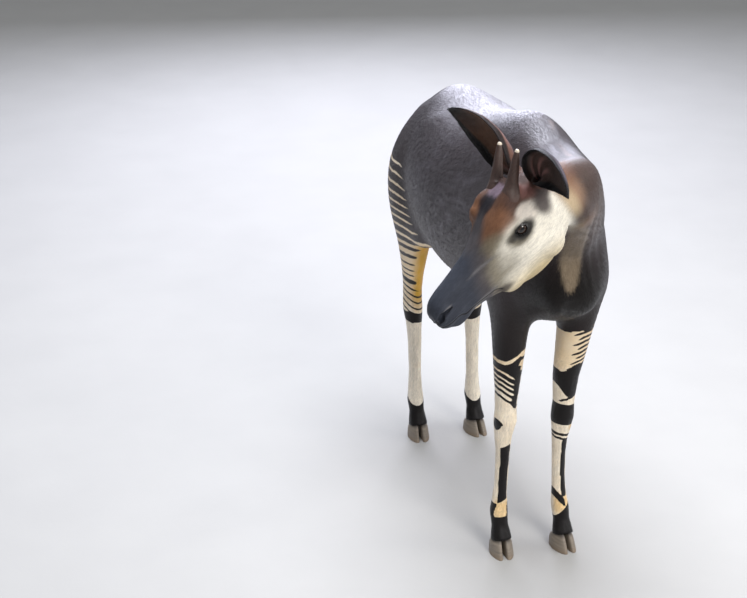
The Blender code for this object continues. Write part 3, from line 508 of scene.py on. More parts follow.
def bulge(rows, x, y, z, radii):  # one at the place given, falling away all round
    gap = (rows - np.array((x, y, z))) / np.array(radii)
    return np.exp(-1.2 * (gap**2).sum(1))


local = inHead(points)
push = np.zeros(len(points))
for side in (1, -1):
    for (x, y, z), radii, height in faceForms:
        push += height * bulge(local, x, y * side, z, radii)
muzzle = local[:, 0] > 0.10
gap, share = alongPath(points[muzzle], mouthRows)
lineHeight = np.interp(share, np.linspace(0, 1, len(mouthRows)), inHead(mouthRows)[:, 2])
lip = np.where(inHead(points[muzzle])[:, 2] > lineHeight, 0.0016, 0.0012)
push[muzzle] += lip * bell(gap, 0.007, 0.0045)
for side in (1, -1):
    gap, share = alongPath(points[muzzle], nostrilRows[side][0])
    push[muzzle] += 0.0020 * bell(gap - nostrilWidth(share), 0.0045, 0.0035) * ramp(share, 0.0, 0.3)
bodyForms = [  # centre in the animal's coordinates, radii, push outwards
    ((0.125, 0.055, 1.150), (0.05, 0.020, 0.170), 0.0050),  # shoulder blade
    ((0.135, 0.120, 1.120), (0.05, 0.025, 0.160), -0.0045),
    ((0.150, -0.080, 0.980), (0.06, 0.060, 0.060), 0.0040),
    ((0.120, 0.640, 1.330), (0.05, 0.040, 0.030), 0.0060),  # hip
    ((0.160, 0.560, 0.960), (0.06, 0.020, 0.110), -0.0040),  # fold in front of the thigh
    ((0.150, 0.900, 1.150), (0.06, 0.030, 0.150), -0.0030),
    ((0.060, -0.235, 1.150), (0.030, 0.05, 0.120), 0.0040),  # cords of the neck's front
    ((-0.050, -0.215, 1.120), (0.022, 0.05, 0.120), 0.0035),
    ((0.016, -0.215, 1.120), (0.018, 0.05, 0.140), -0.0030),
    ((0.020, -0.200, 0.920), (0.012, 0.080, 0.110), -0.0060),  # middle of the breast
    ((0.085, -0.170, 0.930), (0.040, 0.060, 0.080), 0.0040),
    ((0.150, -0.060, 0.900), (0.050, 0.020, 0.090), -0.0040),
]
design, offHead = inPose(points), 1 - headShare(points)
for side in (1, -1):
    for (x, y, z), radii, height in bodyForms:
        if abs(x) >= 0.08 or side > 0:
            push += height * bulge(design, x * side, y, z, radii) * offHead
x, y, z = design.T
ribs = spotShare(design, (0, 0.36, 1.02), (0.6, 0.30, 0.24), 0.6)
push += 0.0016 * ribs * np.sin(2 * math.pi * (y + 0.22 * z) / 0.048)
folds = spotShare(design, (-0.02, -0.36, 1.24), (0.22, 0.12, 0.12), 0.6) * offHead
push += 0.0014 * folds * np.sin(2 * math.pi * (z + 0.35 * x + 0.2 * y) / 0.030)
along = x + 0.25 * (z - 1.10)
pleats = spotShare(design, (0.02, -0.30, 1.20), (0.16, 0.16, 0.26), 0.5) * offHead * ramp(along, 0.02, 0.06)
push += 0.0026 * pleats * np.sin(2 * math.pi * along / 0.034)
setPoints(skin.data, points + normals * push[:, None])


def mouthCutter():
    rings, last, up = [], len(mouthPath) - 1, headWay(0, 0, 1)
    for i, place in enumerate(mouthPath):
        ahead = (mouthPath[min(i + 1, last)] - mouthPath[max(i - 1, 0)]).normalized()
        out = ahead.cross(up).normalized()
        wide, deep, thin = mouthPlan["width"], mouthPlan["depth"], 1 - 0.5 * abs(2 * i / last - 1) ** 3
        rings.append([place + out * c * wide + up * s * deep * 0.5 * thin for c, s in circle(8)])
    return tube("mouthCut", rings)


def nostrilCutter(side):
    rings, outs = [], nostrilRows[side][1]
    for share in np.linspace(0, 1, nostrilPlan["steps"]).tolist():
        before, after = nostrilSpot(side, max(share - 0.1, 0.0)), nostrilSpot(side, min(share + 0.1, 1.0))
        out = outs[1].lerp(outs[3], share).normalized()
        across = (after - before).normalized().cross(out).normalized()
        place, width = nostrilSpot(side, share), float(nostrilWidth(share))
        tall = nostrilPlan["tall"]
        rings.append([place + across * c * width + out * (s * width * tall) for c, s in circle(14)])
    return tube("nostrilCut", rings)


def lidEdge(c, s):  # the almond between the lids, in the eye's own frame
    wide, tall = headFrame["opening"]
    return wide * c, tall * (1.10 if s > 0 else 0.90) * math.copysign(abs(s) ** 1.25, s) - 0.0015 * c


def almondCutter(side, radius):
    turn, centre = gazeTurn(side), eyeCentre(side)
    rings = []
    for depth in (0.2 * radius, 2.2 * radius):
        rings.append([centre + turn @ Vector((*lidEdge(c, s), depth)) for c, s in circle(56)])
    return tube("almondCut", rings)


cutters = [mouthCutter()]
for side in (1, -1):
    radius = headFrame["eyeRadius"] + skinPlan["socket"]
    cutters += [nostrilCutter(side), eyeBall("socketCut", side, radius, 48, 30), almondCutter(side, radius)]
joinShapes(skin, "face", cutters, "DIFFERENCE")
report()

# ears
earPlan = {
    "left": ((-0.126, 0.060, 0.056), (-0.148, 0.097, 0.194), (-0.105, 0.288, 0.089), (0.88, 0.08, 0.46)),
    "right": ((-0.126, -0.060, 0.056), (-0.134, -0.118, 0.145), (-0.133, -0.243, 0.277), (0.86, 0.34, 0.36)),
    "halfWidth": 0.084,
    "near": 0.0075,
    "thickness": 0.0046,
    "rows": 44,
    "columns": 37,
    "canal": ((-0.012, 0.003), (-0.008, 0.0065), (0.004, 0.0085), (0.020, 0.0100), (0.034, 0.0120)),
    "leaf": [
        (0.00, 0.40, 2.80),
        (0.12, 0.66, 2.30),
        (0.30, 0.96, 1.55),
        (0.50, 1.00, 1.20),
        (0.70, 0.88, 1.05),
        (0.86, 0.56, 0.93),
        (0.95, 0.27, 0.85),
        (1.00, 0.05, 0.80),
    ],
}


def earCanal(name):  # the hollow that the ear's cup leads down into
    root, middle, tip, mouthWay = earPlan[name]
    a, b = fromHead(*root), fromHead(*middle)
    ahead = (b - a).normalized()
    out = headWay(*mouthWay)
    out = (out - ahead * out.dot(ahead)).normalized()
    side = ahead.cross(out)
    rings = []
    for along, radius in earPlan["canal"]:
        centre = a + ahead * along - out * 0.0045
        rings.append([centre + (out * c + side * s) * radius for c, s in circle(20)])
    return tube("canalCut", rings)


def ridgeWave(s, t):  # the folds inside the ear run from its root and die out before the tip
    return np.cos(4.3 * math.pi * (t + 0.16 * np.sin(4 * s) - 0.06 * s) + 1.3 * np.sin(2.2 * t + 5 * s))


def earShell(name):
    root, middle, tip, mouthWay = earPlan[name]
    a, b, c = (np.array(fromHead(*spot)) for spot in (root, middle, tip))
    mouth = np.array(headWay(*mouthWay))
    share = np.linspace(0, 1, earPlan["rows"])
    stations = np.array(earPlan["leaf"])
    across = np.linspace(-1, 1, earPlan["columns"])
    t = across[:, None]
    middleRows = []
    for s in share.tolist():
        ahead = (b - a) * (1 - s) + (c - b) * s
        ahead /= np.linalg.norm(ahead)
        out = mouth - ahead * (mouth @ ahead)
        out /= np.linalg.norm(out)
        side = np.cross(ahead, out)
        line = a * (1 - s) ** 2 + b * 2 * s * (1 - s) + c * s * s
        spread = [np.interp(s + d, stations[:, 0], stations[:, 1]) for d in (-0.04, -0.02, 0, 0.02, 0.04)]
        turns = [np.interp(s + d, stations[:, 0], stations[:, 2]) for d in (-0.06, -0.03, 0, 0.03, 0.06)]
        turn = float(np.mean(turns))
        flat = (float(np.mean(spread)) if s < 0.9 else float(spread[2])) * earPlan["halfWidth"]
        radius = flat / turn
        angle = turn * t
        curl = 0.10 * np.abs(t) ** 4 * flat  # the rim rolls in a little
        sideways = radius * np.sin(angle) - np.sign(t) * curl
        middleRows.append(line - out * radius * (np.cos(angle) - 0.35) + side * sideways)
    surface = np.array(middleRows)
    normal = np.cross(np.gradient(surface, axis=0), np.gradient(surface, axis=1))
    normal /= np.linalg.norm(normal, axis=2)[:, :, None]
    normal *= np.sign(normal[len(share) // 2, len(across) // 2] @ mouth)  # towards the mouth of the ear
    s, t = np.meshgrid(share, across, indexing="ij")
    wall = earPlan["thickness"] / 2 * (1 - 0.55 * np.abs(t) ** 3) * (1 - 0.4 * s)
    ridges = 0.0022 * ridgeWave(s, t) * ramp(s, 0.06, 0.18) * (1 - ramp(s, 0.42, 0.78))
    ridges *= 1 - ramp(np.abs(t), 0.6, 0.85)
    inner = surface + normal * (wall + ridges)[:, :, None]
    outer = surface - normal * wall[:, :, None]
    rows, columns = s.shape
    points = np.concatenate([inner.reshape(-1, 3), outer.reshape(-1, 3)])
    half = rows * columns
    faces = []
    for i in range(rows - 1):
        for j in range(columns - 1):
            p, q = i * columns + j, (i + 1) * columns + j
            faces.append((p, p + 1, q + 1, q))
            faces.append((half + p, half + q, half + q + 1, half + p + 1))
    for i in range(rows - 1):
        for j in (0, columns - 1):
            p, q = i * columns + j, (i + 1) * columns + j
            faces.append((p, q, half + q, half + p))
    for j in range(columns - 1):
        for i in (0, rows - 1):
            p = i * columns + j
            faces.append((p, p + 1, half + p + 1, half + p))
    ear = rebuilt(fromFaces("ear_" + name, points, faces), split, outward)
    place = np.stack([np.tile(s.ravel(), 2), np.tile(t.ravel(), 2), np.repeat([1.0, 0.0], half)], 1)
    return ear, points, place


print("okapi: ears")
joinShapes(skin, "canals", [earCanal("left"), earCanal("right")], "DIFFERENCE")
earTree, earRows, ears = KDTree(2 * 2 * earPlan["rows"] * earPlan["columns"]), [], []
for name in ("left", "right"):
    ear, points, place = earShell(name)
    for point, row in zip(points, place):
        earTree.insert(point, len(earRows))
        earRows.append((*row, 1 if name == "left" else -1))
    ears.append(ear)
earTree.balance()
earRows = np.array(earRows)
joinShapes(skin, "ears", ears, "UNION")
rebuilt(skin, split)
report()

# horns
hornPlan = {
    "stations": [
        (-0.034, 0.043, 0.078, 0.0345),
        (-0.048, 0.045, 0.094, 0.0275),
        (-0.066, 0.047, 0.110, 0.0196),
        (-0.090, 0.049, 0.132, 0.0150),
        (-0.122, 0.052, 0.160, 0.0104),
        (-0.139, 0.054, 0.175, 0.0066),
    ],
    "points": 32,
    "cap": ((0.0026, 0.86), (0.0044, 0.60), (0.0054, 0.28)),  # how far out, and the share of the last ring
}


def smoothRows(rows, steps):  # a smooth line through the stations
    rows = np.array(rows, float)
    ends = np.vstack([2 * rows[0] - rows[1], rows, 2 * rows[-1] - rows[-2]])
    made = []
    for i in range(len(rows) - 1):
        a, b, c, d = ends[i : i + 4]
        for t in np.arange(steps) / steps:
            bend, twist = (2 * a - 5 * b + 4 * c - d) * t**2, (3 * b - a - 3 * c + d) * t**3
            made.append(0.5 * (2 * b + (c - a) * t + bend + twist))
    return np.vstack([made, rows[-1]])


def hornPiece(name, side):
    rows = smoothRows(hornPlan["stations"], 9)
    rings = []
    for i, row in enumerate(rows):
        before, after = rows[max(i - 1, 0)], rows[min(i + 1, len(rows) - 1)]
        ahead = (fromHead(*after[:3], side) - fromHead(*before[:3], side)).normalized()
        across = headWay(0, 1, 0)
        up = ahead.cross(across).normalized()
        across = up.cross(ahead).normalized()
        ring = []
        for k in range(hornPlan["points"]):
            angle = 2 * math.pi * k / hornPlan["points"]
            ripple = 1 + 0.018 * math.sin(3 * angle + 0.35 * i) + 0.010 * math.sin(7 * angle - 0.5 * i + side)
            if side < 0:  # a small wart low on the right one
                turn = (angle + 0.5 + math.pi) % (2 * math.pi) - math.pi
                ripple += 0.22 * math.exp(-((turn / 0.20) ** 2) - ((i - 15) / 1.3) ** 2)
            radius = row[3] * ripple
            ring.append(fromHead(*row[:3], side) + (across * math.cos(angle) + up * math.sin(angle)) * radius)
        rings.append(ring)
    middle = sum(rings[-1], Vector()) / len(rings[-1])
    tip = rings[-1]
    for lift, shrink in hornPlan["cap"]:
        rings.append([middle + (p - middle) * shrink + ahead * lift for p in tip])
    return tube(name, rings)


print("okapi: horns, hooves and eyes")
hornPieces = {side: hornPiece(name, side) for name, side in (("hornLeft", 1), ("hornRight", -1))}

# hooves
hoofPlan = {
    "width": 0.039,
    "length": 0.104,
    "toeReach": 0.066,
    "height": 0.048,
    "slope": 0.30,
    "cleft": 0.003,
    "toeOut": 6,
    "points": 56,
    "levels": (0.0, 0.03, 0.08, 0.15, 0.25, 0.35, 0.45, 0.55, 0.65, 0.75, 0.85, 0.93, 0.98, 1.0, 1.03, 1.13),
}


def hoofPiece(name, node, side, outer):
    low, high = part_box(node)
    turn = Matrix.Rotation(math.radians(hoofPlan["toeOut"] * side), 4, "Z")
    width, middle = hoofPlan["width"], hoofPlan["width"] / 2
    rings = []
    for level in hoofPlan["levels"]:
        narrow = 1 - 0.10 * min(level, 1.0) - 0.08 * max(0.0, level - 0.8) / 0.2
        under = 0.0022 * (1 - ramp(level, 0.0, 0.06))  # the sole's edge is a little rounded
        ring = []
        for c, s in circle(hoofPlan["points"]):
            toe = max(0.0, c)
            growth = float(1 + 0.012 * math.sin(26 * level + 1.5 * c) * ramp(level, 0.1, 0.3) * (level < 1))
            half = middle * abs(s) ** 0.75 * (1 - 0.28 * toe)
            across = middle + math.copysign(half, s) - width * 0.18 * toe * toe
            across = middle + (across - middle) * growth * (1 - float(under) * 12)
            across = hoofPlan["cleft"] / 2 + across * narrow
            along = hoofPlan["toeReach"] - hoofPlan["length"] * (1 - c) / 2
            along = along * (1 - 0.30 * level - 0.25 * max(0.0, level - 0.85))
            along = (along - 0.012 * level - 0.010) * growth
            rise = level * (hoofPlan["height"] + hoofPlan["slope"] * along)
            ring.append(turn @ Vector((across * outer * side, -along, rise)))
        rings.append(ring)
    hoof = tube(name, rings)
    points = meshPoints(hoof.data)
    middle = (points[:, :2].min(axis=0) + points[:, :2].max(axis=0)) / 2
    points[:, :2] += np.array((low + high) / 2)[:2] - middle
    setPoints(hoof.data, points)
    return hoof


hoofPieces = []
for kind in ("fore", "hind"):
    for which, side in (("left", 1), ("right", -1)):
        for half, outer in (("outer", 1), ("inner", -1)):
            node = f"hoof_{kind}_{which}_{half}"
            title = "hoof" + kind.title() + which.title() + half.title()
            hoofPieces.append((hoofPiece(title, node, side, outer), node))


# eyes
eyePlan = {"size": 0.992, "cornea": 0.0011, "corneaReach": 0.62}


def eyePiece(name, side):
    build = bmesh.new()
    bmesh.ops.create_uvsphere(build, u_segments=64, v_segments=48, radius=1)
    turn, centre, spots = gazeTurn(side), eyeCentre(side), []
    for vertex in build.verts:
        spot = vertex.co.copy()
        spots.append(spot)
        wide = math.hypot(spot.x, spot.y)
        radius = headFrame["eyeRadius"] * eyePlan["size"]
        rise = eyePlan["cornea"] * max(0.0, 1 - (wide / eyePlan["corneaReach"]) ** 2)
        cornea = rise if spot.z > 0 else 0.0
        vertex.co = centre + turn @ (spot * (radius + cornea))
    outward(build, faces=build.faces)
    eye = ordered(name, build)
    writeFields(eye.data, eyePlace=spots)
    return eye


eyePieces = {side: eyePiece(name, side) for name, side in (("eyeLeft", 1), ("eyeRight", -1))}

# tail tuft
tuftPlan = {
    "top": 0.925,
    "bottom": 0.668,
    "place": (0.004, 1.170),
    "core": 0.010,
    "locks": 260,
    "seed": 41,
    "length": (0.095, 0.055),  # least, and what chance adds to it
    "width": (0.0046, 0.0036),
}


def lockRings(start, ahead, sideWay, length, width):
    rings = []
    outWay = ahead.cross(sideWay).normalized()
    for t in (0, 0.10, 0.25, 0.42, 0.60, 0.76, 0.89, 1.0):
        spread = (0.35 + 0.65 * math.sin(math.pi * min(t * 1.6, 0.5))) * (1 - t**1.8) + 0.02
        wave = math.sin(5.0 * t + 40 * width) * 0.0018 * t
        centre = start + ahead * (length * t) + sideWay * wave
        half, thick = sideWay * (width / 2 * spread), outWay * (width * 0.20 * spread)
        rings.append([centre + half, centre + thick, centre - half, centre - thick])
    return rings


def tailTuftPiece():
    draw = np.random.default_rng(tuftPlan["seed"])
    points, faces, roots = [], [], []
    top, bottom = tuftPlan["top"], tuftPlan["bottom"]
    (short, longer), (narrow, wider) = tuftPlan["length"], tuftPlan["width"]
    for i in range(tuftPlan["locks"]):
        height = top - (top - bottom) * 0.62 * draw.random() ** 1.3
        angle = draw.random() * 2 * math.pi
        level = (top - height) / (top - bottom)
        radius = tuftPlan["core"] * (0.55 + 0.60 * math.sin(math.pi * min(1.0, 0.25 + level)))
        radius *= 0.4 + 0.6 * draw.random()
        away = Vector((math.cos(angle), math.sin(angle), 0))
        start = Vector((*tuftPlan["place"], height)) + shift + away * radius
        lean = away * (0.05 + 0.10 * draw.random()) * (1 - 0.7 * level)
        ahead = (Vector((0, 0, -1)) + lean + Vector((draw.normal(), draw.normal(), 0)) * 0.035).normalized()
        length = min(short + longer * draw.random(), height - bottom + 0.02 * draw.random())
        sideWay = ahead.cross(away).normalized()
        rings = lockRings(start, ahead, sideWay, length, narrow + wider * draw.random())
        faces += ringFaces(len(rings), 4, len(points))
        for ring in rings:
            points.extend(ring)
            roots.extend([start] * 4)
    return rebuilt(fromFaces("tailTuft", points, faces), outward, split), np.array(roots)


print("okapi: tail tuft")
tailTuft, tailRoots = tailTuftPiece()

# markings
tones = {  # linear colours of the coat, among them painted highlights, sheen and shade
    "coat": (0.032, 0.0225, 0.0245),
    "flank": (0.036, 0.0285, 0.0315),
    # painted highlight: pale bluish streaks of sheen on the rib ripples
    "paintedRibSheen": (0.120, 0.108, 0.128),
    "haunch": (0.024, 0.0155, 0.0135),
    "chest": (0.0095, 0.0080, 0.0075),
    "upperLeg": (0.015, 0.0105, 0.0095),
    "neck": (0.080, 0.052, 0.042),
    # partly the neck's own warm brown, partly painted light where the side of the neck behind the cheek is
    # strongly lit
    "neckWarmAndLit": (0.400, 0.240, 0.145),
    "neckCreamAndLit": (0.620, 0.500, 0.330),
    "poll": (0.165, 0.070, 0.036),
    # painted highlight along the top ridge of the neck
    "crestHighlight": (0.230, 0.150, 0.115),
    "throat": (0.245, 0.190, 0.130),
    "cream": (0.760, 0.725, 0.640),
    "jaw": (0.610, 0.490, 0.265),
    "muzzle": (0.036, 0.041, 0.056),
    "bridge": (0.078, 0.070, 0.074),
    "olive": (0.170, 0.145, 0.098),
    "forehead": (0.200, 0.092, 0.048),
    "brown": (0.070, 0.036, 0.026),
    # painted sheen: lavender grey on the bump between the horns
    "swelling": (0.230, 0.170, 0.215),
    "stripe": (0.011, 0.0095, 0.013),
    "smudge": (0.052, 0.040, 0.038),
    "crescent": (0.700, 0.640, 0.570),
    "eyeRing": (0.010, 0.0095, 0.0085),
    # pale grey of the lip crease, also used for painted highlights on the face
    "lipLine": (0.150, 0.145, 0.150),
    "earInside": (0.048, 0.0225, 0.0145),
    "earEdge": (0.260, 0.115, 0.050),
    # near-black of the ears' and lids' rims, also painted shade in the mouth's slit and the nostrils
    "blackRimAndHollowShade": (0.0055, 0.0048, 0.0048),
    # pinkish skin of the ear's inner ridges, lighter on their crests as painted highlight
    "earRidgeAndHighlight": (0.330, 0.165, 0.150),
    "earRust": (0.260, 0.110, 0.060),
    # painted sheen: grey-blue on the back of the ear
    "earBackSheen": (0.120, 0.100, 0.125),
    # painted shade inside the hollow of the ear
    "canal": (0.010, 0.0055, 0.0045),
    "pinkSkin": (0.230, 0.105, 0.090),
}
legStations = {  # height, offset outwards and back from the foot's middle, half width, half depth
    "fore": [
        (1.180, -0.015, 0.030, 0.060, 0.090), (0.960, 0.040, 0.055, 0.074, 0.112),
        (0.880, 0.026, 0.060, 0.072, 0.092), (0.800, 0.016, 0.055, 0.066, 0.076),
        (0.700, 0.010, 0.048, 0.055, 0.060), (0.600, 0.002, 0.044, 0.043, 0.047),
        (0.530, -0.003, 0.042, 0.038, 0.040), (0.480, -0.007, 0.040, 0.041, 0.039),
        (0.430, -0.009, 0.042, 0.033, 0.034), (0.360, -0.011, 0.044, 0.026, 0.029),
        (0.250, -0.008, 0.044, 0.024, 0.027), (0.180, -0.004, 0.042, 0.028, 0.030),
        (0.140, -0.001, 0.038, 0.033, 0.034), (0.100, 0.000, 0.024, 0.030, 0.030),
        (0.030, 0.000, 0.000, 0.039, 0.040),
    ],
    "hind": [
        (1.320, -0.040, -0.040, 0.060, 0.100), (1.080, 0.032, -0.040, 0.092, 0.188),
        (0.960, 0.048, -0.055, 0.082, 0.162), (0.880, 0.044, -0.050, 0.070, 0.132),
        (0.800, 0.034, -0.025, 0.058, 0.100), (0.700, 0.022, 0.015, 0.045, 0.070),
        (0.620, 0.012, 0.050, 0.037, 0.054), (0.550, 0.006, 0.070, 0.036, 0.050),
        (0.500, 0.003, 0.074, 0.038, 0.044), (0.440, 0.001, 0.066, 0.031, 0.036),
        (0.360, 0.000, 0.058, 0.027, 0.030), (0.250, 0.000, 0.050, 0.025, 0.029),
        (0.180, 0.000, 0.046, 0.029, 0.032), (0.140, 0.000, 0.040, 0.034, 0.034),
        (0.100, 0.000, 0.025, 0.030, 0.030), (0.030, 0.000, 0.000, 0.039, 0.040),
    ],
}
legFeet = {
    ("fore", 1): (0.107, -0.022),
    ("fore", -1): (-0.107, 0.0),
    ("hind", 1): (0.111, 0.871),
    ("hind", -1): (-0.111, 0.891),
}


def legPlace(design, kind, side):  # outwards and forwards, in half widths of the leg
    rows = np.array(legStations[kind])[::-1]
    foot = legFeet[(kind, side)]
    height = design[:, 2]
    aside, behind, wide, deep = (np.interp(height, rows[:, 0], rows[:, i]) for i in (1, 2, 3, 4))
    if (kind, side) == ("fore", 1):
        aside = aside - 0.026 * np.clip((height - 0.43) / 0.20, 0, 1)
    outer = (design[:, 0] * side - abs(foot[0]) - aside) / wide
    front = -(design[:, 1] - foot[1] - behind) / deep
    return outer, front


# height of each light line on the legs, from the top one down
hindLines = [
    1.150, 1.118, 1.088, 1.055, 1.022, 0.992, 0.964, 0.935, 0.900, 0.858, 0.822, 0.788, 0.743, 0.713, 0.687,
    0.665, 0.624, 0.597, 0.572, 0.547, 0.522, 0.500,
]
foreLines = [0.703, 0.666, 0.643, 0.625, 0.606, 0.583, 0.558]
outerLines = [0.800, 0.782, 0.763, 0.746, 0.728, 0.711, 0.694, 0.679]


def linePhase(height, lines):  # whole numbers on the light lines
    lines = np.array(lines)
    above, below = lines[0] + (lines[0] - lines[1]) * 4, lines[-1] - (lines[-2] - lines[-1]) * 4
    ends = np.concatenate([[above], lines, [below]])
    steps = np.concatenate([[-4], np.arange(len(lines)), [len(lines) + 3]])
    return np.interp(-height, -ends, steps)


def hindMarks(design, side):
    outer, front = legPlace(design, "hind", side)
    height = design[:, 2]
    behind = design[:, 1]
    wave = 0.007 * np.sin(9 * behind + 14 * height + side) + 0.004 * np.sin(31 * behind + 1.7 * side)
    sway = 0.05 * (behind - 0.85) * ramp(height, 0.60, 0.90)
    level = height + wave + sway - 0.016 * outer * (1 - ramp(height, 0.55, 0.70))
    level = level + 0.011 * (1 - np.clip(outer, -1, 1) ** 2) * (1 - ramp(height, 0.80, 0.90))
    phase = linePhase(level, hindLines) + 0.4 * (side > 0) * ramp(height, 0.75, 0.85)
    reach = np.interp(height, [0.80, 0.86, 0.93, 1.00, 1.08, 1.16], [0.50, 0.585, 0.665, 0.700, 0.735, 0.800])
    share = np.interp(
        level,
        [0.50, 0.56, 0.60, 0.62, 0.635, 0.655, 0.67, 0.70, 0.74, 0.760, 0.79, 0.81, 0.88, 1.12],
        [0.72, 0.72, 0.68, 0.62, 0.44, 0.44, 0.66, 0.74, 0.72, 0.64, 0.58, 0.46, 0.30, 0.25],
    )
    share = share * ramp(behind, reach - 0.005, reach + 0.085)
    threshold = np.cos(math.pi * np.clip(share, 0, 1)) + 0.8 * (1 - ramp(share, 0.0, 0.08))
    onLimb = (1 - ramp(np.abs(front), 1.25, 1.75)) * (1 - ramp(-outer, 1.5, 2.2))
    inside = ramp(-outer + 0.35 * front, -0.30, 0.80) * bandShare(height, 0.600, 0.830, 0.030) * onLimb
    threshold = threshold - 2.2 * inside + 3.0 * ramp(height, 1.140, 1.165)
    threshold = np.where(height < 0.497, -2.0, threshold)
    ring = bandShare(height - 0.006 * outer, 0.455, 0.494, 0.004)
    foot = (1 - ramp(height + 0.035 * front, 0.150, 0.158)) + (1 - ramp(height, 0.105, 0.112))
    threshold = threshold + 4.5 * ring + 4.5 * np.clip(foot, 0, 1)
    # warm tint of the pale stripes, strongest on the inner side and front of the thigh: partly the stripes'
    # own tan, partly painted warm bounce light from the ground
    warm = bandShare(height, 0.52, 0.86, 0.06) * (0.35 + 0.65 * ramp(-outer + 0.6 * front, -0.3, 0.7))
    warm = np.maximum(warm, 0.26 * bandShare(height, 0.52, 1.14, 0.05))
    return phase, threshold, warm


def foreMarks(design, side):
    outer, front = legPlace(design, "fore", side)
    height = design[:, 2]
    angle = np.degrees(np.arctan2(outer, front))  # 0 in front, 90 outside
    angle = angle + 4 * np.sin(45 * height + side) + 2.5 * np.sin(120 * height)
    spread = np.stack([angle, height], 1)
    threshold = np.full(len(design), 3.0)
    warm = np.full(len(design), 0.10)
    if side < 0:
        bend = np.sqrt(np.clip(outer, -1, 1) ** 2 + 0.06) - 0.24
        slant = (1 - ramp(height, 0.655, 0.690)) * (0.85 * np.clip(outer, -1, 1) - bend)
        level = height - 0.036 * (bend + slant) - 0.0010 * np.sin(0.10 * angle + 20 * height)
        phase = linePhase(level, foreLines)
        share = np.interp(
            level, [0.558, 0.583, 0.606, 0.640, 0.680, 0.703], [0.66, 0.54, 0.46, 0.36, 0.20, 0.34]
        )
        share = share * np.where(level > 0.690, 1, ramp(angle, -42, -24) * 0.95 + 0.05)
        inner = ramp(-outer, 0.90, 1.08)
        share = share * (1 - inner) + (0.80 - 0.2 * ramp(level, 0.66, 0.70)) * inner
        lines = np.cos(math.pi * share)
        inLines = ramp(level, 0.546, 0.556)
        threshold = np.where(level < 0.717, lines * inLines - 2.0 * (1 - inLines), 3.0)
        strip = bandShare(angle, -62, -38, 4) * bandShare(height, 0.545, 0.682, 0.010)
        threshold = threshold + 4.0 * strip
        band = bandShare(angle, -56, 48, 4) * bandShare(height + 0.010 * outer, 0.180, 0.395, 0.014)
        foot = 1 - ramp(height - 0.045 * (np.abs(angle) > 50), 0.128, 0.136)
        spots = spotShare(spread, (70, 0.473), (40, 0.022)) + spotShare(spread, (-100, 0.445), (34, 0.030))
    else:
        level = height - 0.016 * np.clip(outer, -1, 1) - 0.0008 * np.sin(7 * outer + 60 * height)
        phase = linePhase(level, outerLines) + 0.5
        onOuter = ramp(outer + 0.16 * np.sin(170 * level), 0.05, 0.65)
        lines = np.cos(math.pi * (1 - 0.50 * onOuter)) - 1.0 * (1 - onOuter)
        threshold = np.where(height < 0.796 + 0.010 * outer, lines, 3.0)
        top = 0.656 + 0.024 * ramp(outer, -0.2, 0.8)
        block = bandShare(height, 0.620 - 0.055 * ramp(outer, -0.7, 0.4), top, 0.006)
        lower = bandShare(height + 0.006 * outer, 0.462, 0.532, 0.006)
        thin = bandShare(height + 0.008 * outer, 0.416, 0.422, 0.003)
        thin += bandShare(height + 0.010 * outer, 0.400, 0.405, 0.002)
        thin += bandShare(height - 0.012 * outer, 0.549, 0.554, 0.002) * ramp(outer, -0.5, 0.0)
        threshold = np.where(level < 0.668, -2.0, threshold)
        threshold = threshold + 4.5 * np.clip(block + lower + thin, 0, 1)
        band = bandShare(angle, -2, 54, 4) * bandShare(height, 0.185, 0.395, 0.012)
        foot = 1 - ramp(height - 0.024 * outer, 0.128, 0.136)
        spots = bandShare(height + 0.034 * np.clip(outer, -1, 1), 0.156, 0.182, 0.004)
        spots *= 1 - ramp(outer, 0.15, 0.45)
        warm = warm + 0.6 * spotShare(spread, (75, 0.452), (40, 0.025))
    threshold = np.where(threshold > 2.9, threshold, threshold + 4.5 * np.clip(band + foot + spots, 0, 1))
    warm = warm + 0.25 * bandShare(height, 0.66, 0.82, 0.03)
    warm = warm + 0.5 * bandShare(height, 0.12, 0.19, 0.02) * ramp(front, 0, 0.6)
    return phase, threshold, warm


print("okapi: markings")
skin.data.materials.clear()
points, normals = meshPoints(skin.data), meshNormals(skin.data)
design, local = inPose(points), inHead(points)
mirror = local.copy()
mirror[:, 1] = np.abs(local[:, 1])
poseX, poseY, poseZ = design.T
faceX, faceY, faceZ = mirror.T
count = len(points)
onHead = headShare(points)
earShare = np.zeros(count)
earPlace = np.zeros((count, 4))
for i in np.flatnonzero((faceX < -0.085) & (faceX > -0.30) & (faceY > 0.035) & (faceZ > 0.02)):
    spot, index, gap = earTree.find(points[i])
    if gap < earPlan["near"]:
        earShare[i] = 1.0
        earPlace[i] = earRows[index]
onLeg = (1 - ramp(poseZ, 0.66, 0.92)) * (poseY < 1.12)
tone = np.tile(np.array(tones["coat"]), (count, 1))


def lay(name, share):
    global tone
    tone = blended(tone, np.array(tones[name]), np.clip(share, 0, 1)[:, None])


lay("flank", spotShare(design, (0, 0.42, 1.02), (0.5, 0.34, 0.24), 0.6) * 0.9)
